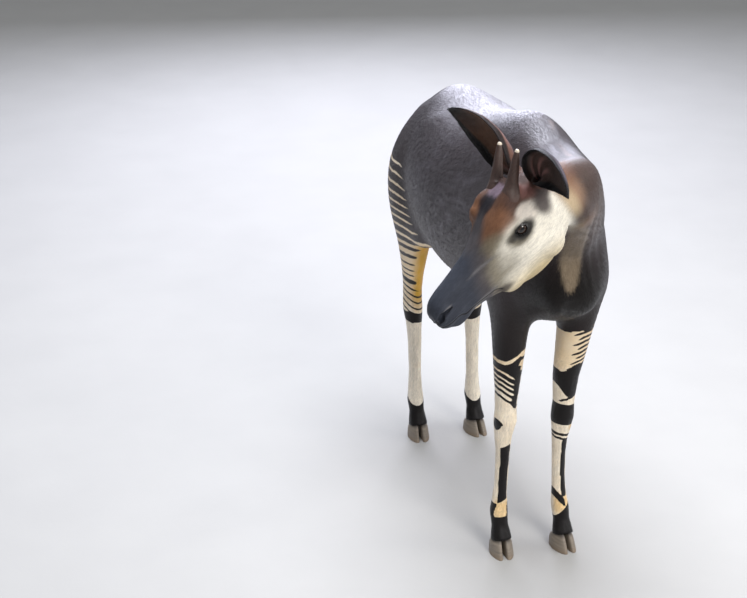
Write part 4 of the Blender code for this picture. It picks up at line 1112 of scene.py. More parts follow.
# painted highlight: pale streaks along the ripples of the ribs on the flank
ribSheenWave = np.sin(2 * math.pi * (poseY + 0.20 * (poseZ - 1.0)) / 0.041 + 1.6 * np.sin(11 * poseY + 5 * poseZ))
ribSheenWave = np.clip(ribSheenWave, 0, 1) ** 1.6 * (0.55 + 0.45 * np.sin(17 * poseZ + 23 * poseY))
lay("paintedRibSheen", spotShare(design, (0, 0.26, 1.06), (0.6, 0.36, 0.27), 0.7) * (1 - onHead) * ribSheenWave * 0.85)
lay("haunch", ramp(poseY, 0.62, 0.86) * (1 - ramp(poseZ, 1.10, 1.34)))
lay("haunch", (1 - ramp(poseZ, 0.74, 0.92)) * ramp(poseY, 0.40, 0.6))
lay("neck", ramp(-poseY, 0.14, 0.36) * 0.85)
lay("upperLeg", (1 - ramp(poseZ, 0.84, 1.06)) * (1 - ramp(poseY, 0.20, 0.36)))
lay("chest", spotShare(design, (0.02, -0.17, 0.95), (0.17, 0.15, 0.20), 0.5))
lay("chest", (1 - ramp(poseZ, 0.66, 0.84)))
throatPath = np.array(
    [(-0.085, -0.420, 1.340), (-0.028, -0.352, 1.272), (-0.006, -0.285, 1.208), (0.010, -0.212, 1.130),
     (0.016, -0.200, 1.080), (0.018, -0.199, 1.035), (0.020, -0.198, 1.000)]
)
gap, share = alongPath(design, throatPath)
half = np.interp(share, np.linspace(0, 1, 7), [0.030, 0.034, 0.040, 0.038, 0.030, 0.017, 0.002])
strip = (1 - ramp(gap, half * 0.72, half * 1.12 + 0.003)) * ramp(-normals[:, 1], -0.15, 0.20)
lay("throat", strip * np.interp(share, [0, 0.25, 0.6, 1], [0.55, 0.60, 0.85, 0.95]))
crestPath = np.array(
    [(-0.016, -0.226, 1.482), (-0.002, -0.160, 1.474), (0.010, -0.090, 1.470), (0.033, 0.042, 1.500)]
)
gap, share = alongPath(design, crestPath)
# painted highlight: a thin pale line along the top ridge of the neck
lay("crestHighlight", (1 - ramp(gap, 0.004, 0.014)) * 0.7 * (1 - onHead))
# warm and cream patch behind the cheek: partly the neck's own warm tone, partly painted light on the strongly
# lit side of the neck
lay("neckWarmAndLit", spotShare(mirror, (-0.190, 0.074, -0.075), (0.050, 0.046, 0.130), 0.60) * 0.85)
lay("neckCreamAndLit", spotShare(mirror, (-0.158, 0.066, -0.056), (0.026, 0.050, 0.115), 0.75) * 0.85)
lay("poll", spotShare(mirror, (-0.160, 0.020, 0.050), (0.098, 0.100, 0.078), 0.6) * 0.85)

onFace = onHead * ramp(local[:, 0], -0.158, -0.122)
lay("cream", onFace)
bound = faceX - np.interp(
    faceZ, [-0.16, -0.09, -0.02, 0.02, 0.06, 0.10], [0.205, 0.165, 0.142, 0.112, 0.078, 0.058]
)
lay("jaw", onFace * (1 - ramp(faceZ, -0.150, -0.068)) * ramp(faceX, -0.12, 0.02) * 0.92)
crownLine = np.interp(
    faceX,
    [-0.16, -0.12, -0.09, -0.045, -0.015, 0.035, 0.076, 0.12],
    [0.010, 0.030, 0.046, 0.064, 0.048, 0.046, 0.040, 0.010],
)
crown = onFace * ramp(faceZ - crownLine, -0.020, 0.020)
lay("forehead", crown * 0.92)
lay("brown", crown * ramp(-faceX, -0.045, 0.035) * 0.85)
lay("olive", onFace * ramp(bound, -0.050, -0.008) * 0.75)
lay("bridge", onFace * ramp(bound, -0.020, 0.026))
lay("muzzle", onFace * ramp(bound, 0.016, 0.085))
lay("muzzle", onFace * bandShare(faceZ, -0.30, -0.085, 0.012) * ramp(faceX, 0.190, 0.225))
for centre, radii, soft, name, strength in [
    ((0.046, 0.048, 0.086), (0.078, 0.040, 0.050), 0.40, "forehead", 0.95),
    ((-0.030, 0.030, 0.105), (0.050, 0.030, 0.040), 0.45, "forehead", 0.60),
    ((0.112, 0.060, -0.040), (0.054, 0.030, 0.044), 0.60, "olive", 0.50),
    ((0.124, 0.060, -0.060), (0.036, 0.030, 0.010), 0.90, "olive", 0.40),
    ((-0.082, 0.036, 0.098), (0.060, 0.056, 0.056), 0.45, "brown", 0.95),
    ((-0.125, 0.030, 0.070), (0.050, 0.080, 0.056), 0.50, "brown", 0.90),
    ((-0.042, 0.072, 0.086), (0.040, 0.032, 0.034), 0.50, "brown", 0.90),
    ((-0.012, 0.040, 0.104), (0.034, 0.030, 0.030), 0.60, "brown", 0.55),
    ((0.084, 0.058, 0.036), (0.046, 0.028, 0.020), 0.55, "olive", 0.65),
    ((0.030, 0.000, 0.105), (0.080, 0.019, 0.060), 0.30, "stripe", 0.95),
    ((0.010, 0.014, 0.108), (0.034, 0.018, 0.040), 0.35, "stripe", 0.90),
    ((0.105, 0.000, 0.078), (0.060, 0.034, 0.050), 0.45, "bridge", 0.95),
    # painted sheen on the bump between the horns
    ((-0.034, 0.014, 0.112), (0.024, 0.022, 0.030), 0.40, "swelling", 0.85),
    ((-0.048, 0.081, 0.030), (0.028, 0.030, 0.026), 0.45, "crescent", 0.90),
    ((-0.030, 0.078, 0.052), (0.024, 0.030, 0.015), 0.45, "crescent", 0.90),
    ((-0.091, 0.074, 0.014), (0.027, 0.030, 0.036), 0.55, "smudge", 0.95),
    ((-0.112, 0.070, 0.040), (0.028, 0.030, 0.032), 0.50, "smudge", 0.90),
    ((0.022, 0.094, 0.002), (0.050, 0.030, 0.030), 0.35, "olive", 0.85),
    ((0.002, 0.094, 0.007), (0.043, 0.030, 0.0245), 0.36, "eyeRing", 0.97),
    ((0.042, 0.085, 0.012), (0.020, 0.030, 0.011), 0.55, "eyeRing", 0.70),
    ((-0.084, 0.062, 0.084), (0.026, 0.022, 0.034), 0.50, "pinkSkin", 0.75),
    ((0.150, 0.045, -0.100), (0.034, 0.030, 0.010), 0.50, "smudge", 0.80),
    # pale grey along the lip crease
    ((0.205, 0.040, -0.079), (0.050, 0.030, 0.007), 0.50, "lipLine", 0.75),
    # painted highlight on the ridge that runs from the eye to the muzzle
    ((0.150, 0.050, 0.004), (0.052, 0.030, 0.0040), 0.50, "lipLine", 0.80),
    # painted highlight on the nostril's upper rim
    ((0.306, 0.045, -0.0125), (0.018, 0.020, 0.0036), 0.50, "lipLine", 0.90),
]:
    lay(name, onHead * spotShare(mirror, centre, radii, soft) * strength)
muzzlePart = local[:, 0] > 0.12
mouthGap, nostrilGap = np.full(count, 1.0), np.full(count, 1.0)
mouthGap[muzzlePart] = alongPath(points[muzzlePart], mouthRows)[0]
for side in (1, -1):
    gap, share = alongPath(points[muzzlePart], nostrilRows[side][0])
    nostrilGap[muzzlePart] = np.minimum(nostrilGap[muzzlePart], gap - nostrilWidth(share))
# painted shade: near-black in the mouth's slit and inside the nostrils; the lid rims below are dark skin
lay("blackRimAndHollowShade", (1 - ramp(mouthGap, 0.0015, 0.0035)) * 0.9)
lay("blackRimAndHollowShade", 1 - ramp(nostrilGap, -0.0005, 0.0015))
lidGap = np.minimum(eyeFrame(points, 1)[1], eyeFrame(points, -1)[1])
lay("blackRimAndHollowShade", 1 - ramp(lidGap, 1.15, 1.5))

s, t, inner = earPlace[:, 0], earPlace[:, 1], earPlace[:, 2]
isRight = earPlace[:, 3] < 0
# painted sheen: the back of the ear is laid grey-blue before its brown and rust
lay("earBackSheen", earShare)
rust = np.clip(ramp(t, 0.2, 0.9) * 0.9 + (1 - ramp(s, 0.05, 0.35)), 0, 1)
lay("earRust", earShare * (1 - inner) * rust * 0.8)
lay("earInside", earShare * inner)
lay("earEdge", earShare * inner * isRight * bandShare(s, 0.35, 0.85, 0.12) * ramp(t, 0.05, 0.60) * 0.9)
lay("earEdge", earShare * inner * isRight * bandShare(s, 0.20, 0.75, 0.12) * 0.34)
# pink on the inner ridges, strongest on the crests of the same wave that shapes them: partly the skin's own
# pink, partly painted highlight
ridge = (0.12 + 0.88 * ramp(ridgeWave(s, t), 0.0, 0.9)) * (1 - ramp(np.abs(t), 0.35, 0.75))
lay("earRidgeAndHighlight", earShare * inner * (1 - ramp(s, 0.18, 0.50)) * ridge * 0.95)
lay("brown", earShare * (1 - inner) * (1 - ramp(s, 0.12, 0.42)) * 0.9)
rim = 0.70 - 0.06 * inner + 0.05 * np.sin(9 * s)
rim = ramp(np.abs(t), rim, rim + 0.12) * ramp(s, 0.05, 0.20)
lay("blackRimAndHollowShade", earShare * rim * np.where(inner > 0.5, 1, 0.95))
lay("blackRimAndHollowShade", earShare * ramp(s, 0.86, 0.97))
# painted shade: the walls of each ear's hollow that face its mouth are darkened
for name in ("left", "right"):
    root = np.array(fromHead(*earPlan[name][0]))
    axis = np.array(fromHead(*earPlan[name][1])) - root
    axis /= np.linalg.norm(axis)
    along = (points - root) @ axis
    away = np.linalg.norm(points - root - along[:, None] * axis, axis=1)
    facing = normals @ np.array(headWay(*earPlan[name][3])) > 0.0
    lay("canal", (1 - ramp(away, 0.012, 0.0165)) * bandShare(along, -0.02, 0.022, 0.006) * facing)

phase, threshold, warm = np.zeros(count), np.full(count, 3.0), np.zeros(count)
for side in (1, -1):
    mine = np.sign(poseX + 1e-9) == side
    ours = mine & (poseY > 0.42) & (poseZ < 1.30) & (poseY < 1.145)
    phase[ours], threshold[ours], warm[ours] = hindMarks(design[ours], side)
    ours = mine & (poseY < 0.42) & (poseZ < 0.86) & (onHead < 0.5)
    phase[ours], threshold[ours], warm[ours] = foreMarks(design[ours], side)
threshold = np.clip(threshold, -2.5, 3.0)
print("okapi: light legs on", int((threshold < 0).sum()), "points")

# lie of the coat: backwards on head and neck, back and down on the trunk, down on the legs
neckPart = ramp(-poseY, 0.05, 0.30)[:, None]
onSide = ramp(np.abs(normals[:, 0]), 0.35, 0.80)[:, None] * (1 - neckPart) * 0.8
downLeg = ((1 - ramp(poseZ, 0.70, 0.98)) * (1 - onHead))[:, None]
flow = np.tile(np.array((0.0, 0.94, -0.34)), (count, 1))
for way, share in [
    ((0.25, 0.72, -0.62), neckPart),
    ((0.0, 0.42, -0.90), onSide),
    ((0.0, 0.22, -0.97), downLeg),
    (headWay(-1, 0, 0.10), onHead[:, None]),
]:
    flow = blended(flow, np.array(way), share)
for name in ("left", "right"):
    root, tip = np.array(fromHead(*earPlan[name][0])), np.array(fromHead(*earPlan[name][2]))
    ours = (earShare > 0) & ((earPlace[:, 3] > 0) == (name == "left"))
    flow[ours] = (tip - root) / np.linalg.norm(tip - root)
flow[poseY > 1.14] = (0.0, 0.05, -1.0)
flow -= normals * (flow * normals).sum(1)[:, None]
flow /= np.maximum(np.linalg.norm(flow, axis=1), 1e-6)[:, None]

# the grain of the coat: coordinates that are short along the lie and long across it
tilt = np.array([[1, 0, 0], [0, 0.94, -0.34], [0, 0.34, 0.94]])
grain = (points @ tilt.T) * np.array((1, 0.14, 1))
onFlank = spotShare(design, (0, 0.40, 1.02), (0.60, 0.42, 0.34), 0.40)
grain = blended(grain, points * np.array((1, 1, 0.12)), onFlank[:, None])
grain = blended(grain, points * np.array((1, 1, 0.14)), onLeg[:, None])
grain = blended(grain, local * np.array((0.14, 1, 1)), onHead[:, None])
grain[earShare > 0] = np.stack([t * 0.075, s * 0.03, inner], 1)[earShare > 0]
clear = np.ones(count)  # none where two lies meet
for part in (onLeg, onHead, onFlank):
    clear *= 1 - 4 * part * (1 - part)

# tufts: how many for an area, how long, how far they lift
bare = (1 - ramp(mouthGap, 0.003, 0.008)) + (1 - ramp(nostrilGap, 0.002, 0.012))
bare = np.clip(bare + (1 - ramp(lidGap, 1.5, 2.1)), 0, 1)
bare = np.maximum(bare, earShare * inner * bandShare(s, -0.2, 0.30, 0.05))
# gloss mask for the coat's specular tint, standing in for light from above: glossy along the back, dull on
# the breast, the neck's front, the legs and the crown, as painted shade under the body
shine = 0.30 + 0.70 * ramp(poseZ + 0.25 * normals[:, 2], 0.92, 1.36)
shine = shine * (1 - 0.88 * spotShare(design, (0.02, -0.22, 0.98), (0.26, 0.22, 0.30), 0.5))
shine = shine * (1 - 0.45 * ramp(-poseY, 0.10, 0.34)) * (1 - onHead)
shine = shine * (1 - 0.75 * ramp(-poseY, 0.28, 0.40))
shine = shine + (0.26 - 0.16 * ramp(-faceX, 0.0, 0.06) * ramp(faceZ, 0.03, 0.07)) * onHead
shine = blended(shine, 0.16, onLeg)
shine = np.where(earShare > 0, 0.25, shine)
bare = np.maximum(bare, (1 - ramp(poseZ, 0.044, 0.048)) * (1 - onHead))
length = np.full(count, 0.0150)
length = blended(length, 0.0062 - 0.0030 * ramp(faceX, 0.05, 0.30), onHead)
length = blended(length, 0.0045 + 0.0045 * ramp(poseZ, 0.15, 0.6), onLeg)
length = np.where(onHead > 0.5, np.minimum(length, 0.0030 + 0.004 * ramp(lidGap, 1.5, 4.0)), length)
fringe = 0.006 * inner * ramp(np.abs(t), 0.3, 0.8) * (1 - ramp(s, 0.5, 0.8))
length = np.where(earShare > 0, 0.0065 + fringe, length)
density = np.full(count, 1.0)
density = density * (1 + 1.5 * onLeg * (1 - ramp(poseZ, 0.3, 0.7)) + 0.4 * onLeg + 3.6 * onHead)
onEar = 2.6 * (0.4 + 0.6 * (1 - inner) + 1.6 * inner * ramp(np.abs(t), 0.55, 0.9))
density = np.where(earShare > 0, onEar, density)
density *= 1 - bare
lift = 0.028
gap, share = alongPath(design, crestPath)
crestNear = (1 - ramp(gap, 0.006, 0.030)) * (1 - onHead)
lift = lift + 0.10 * crestNear
length = length * (1 + 0.3 * crestNear)
density = density * (1 + 1.0 * crestNear)
lift = lift + 0.10 * earShare * inner + 0.05 * earShare
lift = lift + 0.06 * (1 - onHead) * ramp(-normals[:, 2], 0.3, 0.9) * ramp(poseZ, 0.7, 0.8)
widths = np.where(earShare > 0, 0.0011, 0.0022 * (1 - onHead) * (1 - 0.40 * onLeg) + 0.00105 * onHead)
writeFields(
    skin.data,
    tone=tone,
    mark=np.stack([phase, threshold, np.clip(warm, 0, 1)], 1),
    place=points,
    outWay=normals,
    lie=flow,
    grain=grain,
    clear=clear,
    hair=np.stack([density, length, lift], 1),
    hairWidth=widths,
    shine=shine,
)

# materials
coatLook = {
    "white": (0.88, 0.80, 0.67),
    "orange": (0.66, 0.37, 0.030),
    "markSoft": 0.14,
    "streaks": 520,
    "clumps": 110,
    "sheen": 0.05,
    "sheenTint": (0.70, 0.78, 1.0),
    "shineTint": (0.92, 0.92, 1.0),
    "roughness": 0.38,
    "gloss": 0.06,
    "glossRoughness": 0.30,
}


def feed(tree, socket, value):  # a constant, or the output of another node
    if isinstance(value, bpy.types.NodeSocket):
        tree.links.new(value, socket)
    elif socket.type == "RGBA":
        socket.default_value = (*value, 1)
    else:
        socket.default_value = value


def nodeOf(tree, kind, inputs={}, **values):
    node = tree.nodes.new(kind)
    for name, value in values.items():
        setattr(node, name, value)
    for name, value in inputs.items():
        feed(tree, node.inputs[name], value)
    return node


def freshTree(name):
    material = bpy.data.materials.new(name)
    material.use_nodes = True
    return material, material.node_tree


def finished(material, inputs):
    tree = material.node_tree
    for name, value in inputs.items():
        feed(tree, tree.nodes["Principled BSDF"].inputs[name], value)
    return material


def fieldNode(tree, name, output="Vector"):
    return nodeOf(tree, "ShaderNodeAttribute", attribute_name=name).outputs[output]


def mathNode(tree, how, *values, clamp=False):
    return nodeOf(tree, "ShaderNodeMath", dict(enumerate(values)), operation=how, use_clamp=clamp).outputs[0]


def rangeNode(tree, value, low, high, toLow=0.0, toHigh=1.0, how="SMOOTHSTEP"):
    inputs = {"Value": value, "From Min": low, "From Max": high, "To Min": toLow, "To Max": toHigh}
    return nodeOf(tree, "ShaderNodeMapRange", inputs, interpolation_type=how).outputs["Result"]


def mixNode(tree, share, first, second, how="MIX"):  # sockets 6 and 7 are the two colours
    inputs = {0: share, 6: first, 7: second}
    return nodeOf(tree, "ShaderNodeMix", inputs, data_type="RGBA", blend_type=how).outputs[2]


def noiseNode(tree, place, scale, detail=2.0, rough=0.5, stretch=None):
    if stretch:
        place = nodeOf(tree, "ShaderNodeMapping", {"Vector": place, "Scale": stretch}).outputs["Vector"]
    inputs = {"Vector": place, "Scale": scale, "Detail": detail, "Roughness": rough}
    return nodeOf(tree, "ShaderNodeTexNoise", inputs).outputs["Fac"]


def bumpNode(tree, height, depth, strength):
    inputs = {"Height": height, "Distance": depth, "Strength": strength}
    return nodeOf(tree, "ShaderNodeBump", inputs).outputs["Normal"]


def coatColour(tree):  # the coat's tone with its leg markings, streaked along the lie
    place, grain, clear = fieldNode(tree, "place"), fieldNode(tree, "grain"), fieldNode(tree, "clear", "Fac")
    marks = nodeOf(tree, "ShaderNodeSeparateXYZ", {0: fieldNode(tree, "mark")}).outputs

    def uneven(scale, detail, gain, base):
        return mathNode(tree, "MULTIPLY_ADD", noiseNode(tree, place, scale, detail), gain, base)

    phase = mathNode(tree, "ADD", marks["X"], uneven(70, 3, 0.22, -0.11))
    wave = mathNode(tree, "COSINE", mathNode(tree, "MULTIPLY", phase, 2 * math.pi))
    edge = mathNode(tree, "ADD", marks["Y"], uneven(260, 2, 0.7, -0.35))
    soft = coatLook["markSoft"]
    light = rangeNode(tree, mathNode(tree, "SUBTRACT", wave, edge), -soft, soft)
    warm = mathNode(tree, "ADD", marks["Z"], uneven(30, 2, 0.3, -0.15), clamp=True)
    pale = mixNode(tree, warm, coatLook["white"], coatLook["orange"])
    colour = mixNode(tree, light, fieldNode(tree, "tone", "Color"), pale)
    streaks = noiseNode(tree, grain, coatLook["streaks"], 3, 0.6)
    clumps = noiseNode(tree, grain, coatLook["clumps"], 2, 0.5)
    shades = []
    for hairs, gain in ((streaks, 0.95), (clumps, 0.55)):
        change = mathNode(tree, "MULTIPLY", mathNode(tree, "SUBTRACT", hairs, 0.5), clear)
        shades.append(mathNode(tree, "MULTIPLY_ADD", change, gain, 1.0))
    shade = mathNode(tree, "MULTIPLY", mathNode(tree, "MULTIPLY", *shades), uneven(7, 2, 0.30, 0.85))
    return mixNode(tree, 1.0, colour, shade, "MULTIPLY"), streaks, clumps, clear


def coatMaterial(name, onTufts, rough=0.0, sheen=1.0, gloss=1.0):
    material, tree = freshTree(name)
    colour, streaks, clumps, clear = coatColour(tree)
    base = coatLook["roughness"] + rough
    shine = fieldNode(tree, "shine", "Fac")
    inputs = {
        "Roughness": rangeNode(tree, streaks, 0.25, 0.75, base - 0.07, base + 0.10, "LINEAR"),
        "Sheen Weight": coatLook["sheen"] * sheen,
        "Sheen Roughness": 0.35,
        "Sheen Tint": coatLook["sheenTint"],
        "Specular IOR Level": 1.0,
        "Specular Tint": mixNode(tree, shine, (0.0, 0.0, 0.0), coatLook["shineTint"]),
        "Coat Weight": coatLook["gloss"] * gloss,
        "Coat Roughness": coatLook["glossRoughness"],
    }
    if onTufts:
        gain = mathNode(tree, "MULTIPLY_ADD", fieldNode(tree, "tip", "Fac"), 0.24, 0.90)
        colour = mixNode(tree, 1.0, colour, gain, "MULTIPLY")
    else:
        height = mathNode(tree, "MULTIPLY", mathNode(tree, "MULTIPLY_ADD", clumps, 0.5, streaks), clear)
        inputs["Normal"] = bumpNode(tree, height, 0.0007, 0.7)
    return finished(material, {"Base Color": colour, **inputs})


def wetMaterial(name, rough):  # lips, nostrils and the rims of the lids
    material, tree = freshTree(name)
    place = fieldNode(tree, "place")
    pebbles = nodeOf(tree, "ShaderNodeTexVoronoi", {"Vector": place, "Scale": 620}).outputs["Distance"]
    share = rangeNode(tree, noiseNode(tree, place, 120, 2), 0.3, 0.7)
    tint = mixNode(tree, share, (0.72, 0.72, 0.75), (1.0, 1.0, 1.0))
    grease = noiseNode(tree, place, 200, 2)
    return finished(material, {
        "Base Color": mixNode(tree, 1.0, fieldNode(tree, "tone", "Color"), tint, "MULTIPLY"),
        "Normal": bumpNode(tree, pebbles, 0.0005, 0.7),
        "Roughness": rangeNode(tree, grease, 0.3, 0.7, rough - 0.06, rough + 0.10),
    })


def earMaterial():
    material, tree = freshTree("earSkin")
    streaks = noiseNode(tree, fieldNode(tree, "grain"), 700, 3, 0.6)
    veins = noiseNode(tree, fieldNode(tree, "place"), 60, 3, 0.6)
    shade = mathNode(tree, "MULTIPLY_ADD", streaks, 0.9, mathNode(tree, "MULTIPLY_ADD", veins, 0.5, 0.32))
    return finished(material, {
        "Base Color": mixNode(tree, 1.0, fieldNode(tree, "tone", "Color"), shade, "MULTIPLY"),
        "Normal": bumpNode(tree, mathNode(tree, "ADD", streaks, veins), 0.0010, 0.8),
        "Roughness": rangeNode(tree, streaks, 0.3, 0.7, 0.42, 0.62),
        "Subsurface Weight": 0.08,
        "Subsurface Radius": (0.006, 0.002, 0.001),
        "Sheen Weight": 0.15,
    })


def objectPlace(tree):
    return nodeOf(tree, "ShaderNodeTexCoord").outputs["Object"]


def hornMaterial():
    material, tree = freshTree("horn")
    place, tip = objectPlace(tree), fieldNode(tree, "tip", "Fac")
    streaks = noiseNode(tree, fieldNode(tree, "grain"), 420, 3, 0.6)
    hairy = mixNode(tree, streaks, (0.012, 0.007, 0.006), (0.085, 0.045, 0.034))
    polished = mixNode(tree, noiseNode(tree, place, 300, 2), (0.40, 0.31, 0.22), (0.80, 0.74, 0.62))
    ragged = mathNode(tree, "MULTIPLY_ADD", noiseNode(tree, place, 160, 2), 0.04, -0.02)
    share = rangeNode(tree, mathNode(tree, "ADD", tip, ragged), 0.964, 0.986)
    base = mixNode(tree, rangeNode(tree, tip, 0.0, 0.38), (0.080, 0.042, 0.032), hairy)
    return finished(material, {
        "Base Color": mixNode(tree, share, base, polished),
        "Roughness": rangeNode(tree, share, 0, 1, 0.55, 0.22),
        "Normal": bumpNode(tree, streaks, 0.0010, 0.8),
    })


def hoofMaterial():
    material, tree = freshTree("hoof")
    place, level = objectPlace(tree), fieldNode(tree, "level", "Fac")
    rings = noiseNode(tree, place, 60, 2, 0.5, (0.25, 0.25, 3.2))
    grains = noiseNode(tree, place, 900, 2, 0.5, (1, 1, 0.12))
    horn = mixNode(tree, rings, (0.120, 0.100, 0.084), (0.360, 0.300, 0.235))
    dusty = mixNode(tree, rangeNode(tree, level, 0.0, 0.35, 0.75, 0.0), horn, (0.260, 0.190, 0.130))
    both = mathNode(tree, "ADD", rings, mathNode(tree, "MULTIPLY", grains, 0.4))
    return finished(material, {
        "Base Color": mixNode(tree, rangeNode(tree, level, 0.72, 1.0), dusty, (0.035, 0.030, 0.028)),
        "Roughness": rangeNode(tree, rings, 0.3, 0.7, 0.38, 0.62),
        "Normal": bumpNode(tree, both, 0.0012, 0.7),
    })


def eyeMaterial():  # places on the unit ball: X to the nose, Y up, Z out
    material, tree = freshTree("eye")
    place = fieldNode(tree, "eyePlace")
    spot = nodeOf(tree, "ShaderNodeSeparateXYZ", {0: place}).outputs
    wide, tall = (mathNode(tree, "MULTIPLY", spot[axis], spot[axis]) for axis in ("X", "Y"))
    around = mathNode(tree, "SQRT", mathNode(tree, "ADD", wide, tall))
    oval = mathNode(tree, "SQRT", mathNode(tree, "ADD", wide, mathNode(tree, "MULTIPLY", tall, 3.6)))
    fibres = noiseNode(tree, place, 14, 4, 0.6)
    iris = mixNode(tree, fibres, (0.010, 0.006, 0.005), (0.060, 0.032, 0.020))
    inner = mixNode(tree, rangeNode(tree, oval, 0.34, 0.40), (0.003, 0.003, 0.005), iris)
    outer = mixNode(tree, rangeNode(tree, around, 0.58, 0.64), inner, (0.006, 0.004, 0.004))
    veins = mixNode(tree, fibres, (0.10, 0.05, 0.04), (0.22, 0.13, 0.10))
    return finished(material, {
        "Base Color": mixNode(tree, rangeNode(tree, around, 0.74, 0.84), outer, veins),
        "Roughness": 0.05,
        "Specular IOR Level": 0.5,
        "Coat Weight": 0.4,
        "Coat Roughness": 0.02,
    })


def hairMaterial(name, dark, pale):
    material, tree = freshTree(name)
    streaks = noiseNode(tree, objectPlace(tree), 900, 2, 0.6, (1, 1, 0.06))
    patches = noiseNode(tree, fieldNode(tree, "place"), 140, 2)
    change = mathNode(tree, "MULTIPLY_ADD", patches, 0.6, mathNode(tree, "MULTIPLY", streaks, 0.5))
    return finished(material, {
        "Base Color": mixNode(tree, change, dark, pale),
        "Normal": bumpNode(tree, streaks, 0.0006, 0.8),
        "Roughness": rangeNode(tree, streaks, 0.3, 0.7, 0.34, 0.52),
        "Sheen Weight": 0.2,
    })


def floorMaterial():
    material, tree = freshTree("floorPaint")
    place = objectPlace(tree)
    return finished(material, {
        "Base Color": mixNode(tree, noiseNode(tree, place, 3, 4), (0.43, 0.425, 0.415), (0.48, 0.475, 0.462)),
        "Normal": bumpNode(tree, noiseNode(tree, place, 60, 3), 0.0010, 0.3),
        "Roughness": 0.85,
    })


print("okapi: materials")
faceFinish = {"rough": 0.16, "sheen": 0.6, "gloss": 0.2}
for look in [
    coatMaterial("coatSkin", False),
    wetMaterial("lipSkin", 0.40),
    earMaterial(),
    wetMaterial("lidSkin", 0.22),
    coatMaterial("faceSkin", False, **faceFinish),
    wetMaterial("nostrilSkin", 0.75),
]:
    skin.data.materials.append(look)
lookOrder = {look.name: index for index, look in enumerate(skin.data.materials)}
corners = np.empty(len(skin.data.loops), np.int32)
skin.data.loops.foreach_get("vertex_index", corners)
corners = corners.reshape(-1, 3)
chosen = np.where((onHead > 0.5)[corners].all(1), lookOrder["faceSkin"], 0).astype(np.int32)
chosen[mouthGap[corners].max(1) < 0.0027] = lookOrder["lipSkin"]
chosen[nostrilGap[corners].max(1) < 0.0014] = lookOrder["nostrilSkin"]
chosen[(earShare * inner)[corners].min(1) > 0.5] = lookOrder["earSkin"]
chosen[lidGap[corners].max(1) < 1.45] = lookOrder["lidSkin"]
skin.data.polygons.foreach_set("material_index", chosen)
skin.data.shade_smooth()

# coat
coatPlan = {
    "bodyPerArea": 36000,
    "seed": 7,
    "yaw": 0.24,
    "rise": 0.045,
    "patch": 0.003,
    "margin": 0.012,
    "quickShare": 0.25,
}
bladeShape = [  # a leaf with its root in the skin: across, along and above it, and the share of the tip
    (0.00, -0.06, -0.12, 0.0),
    (-0.50, 0.40, 0.02, 0.4),
    (0.50, 0.40, 0.02, 0.4),
    (0.00, 0.44, 0.20, 0.4),
    (0.00, 1.00, 0.06, 1.0),
]


def bladePiece():
    points, tips = [row[:3] for row in bladeShape], [row[3] for row in bladeShape]
    faces = [(0, 2, 1), (0, 1, 3), (0, 3, 2), (4, 1, 2), (4, 3, 1), (4, 2, 3)]
    blade = rebuilt(fromFaces("blade", points, faces), outward, split)
    writeFields(blade.data, tip=tips)
    return blade


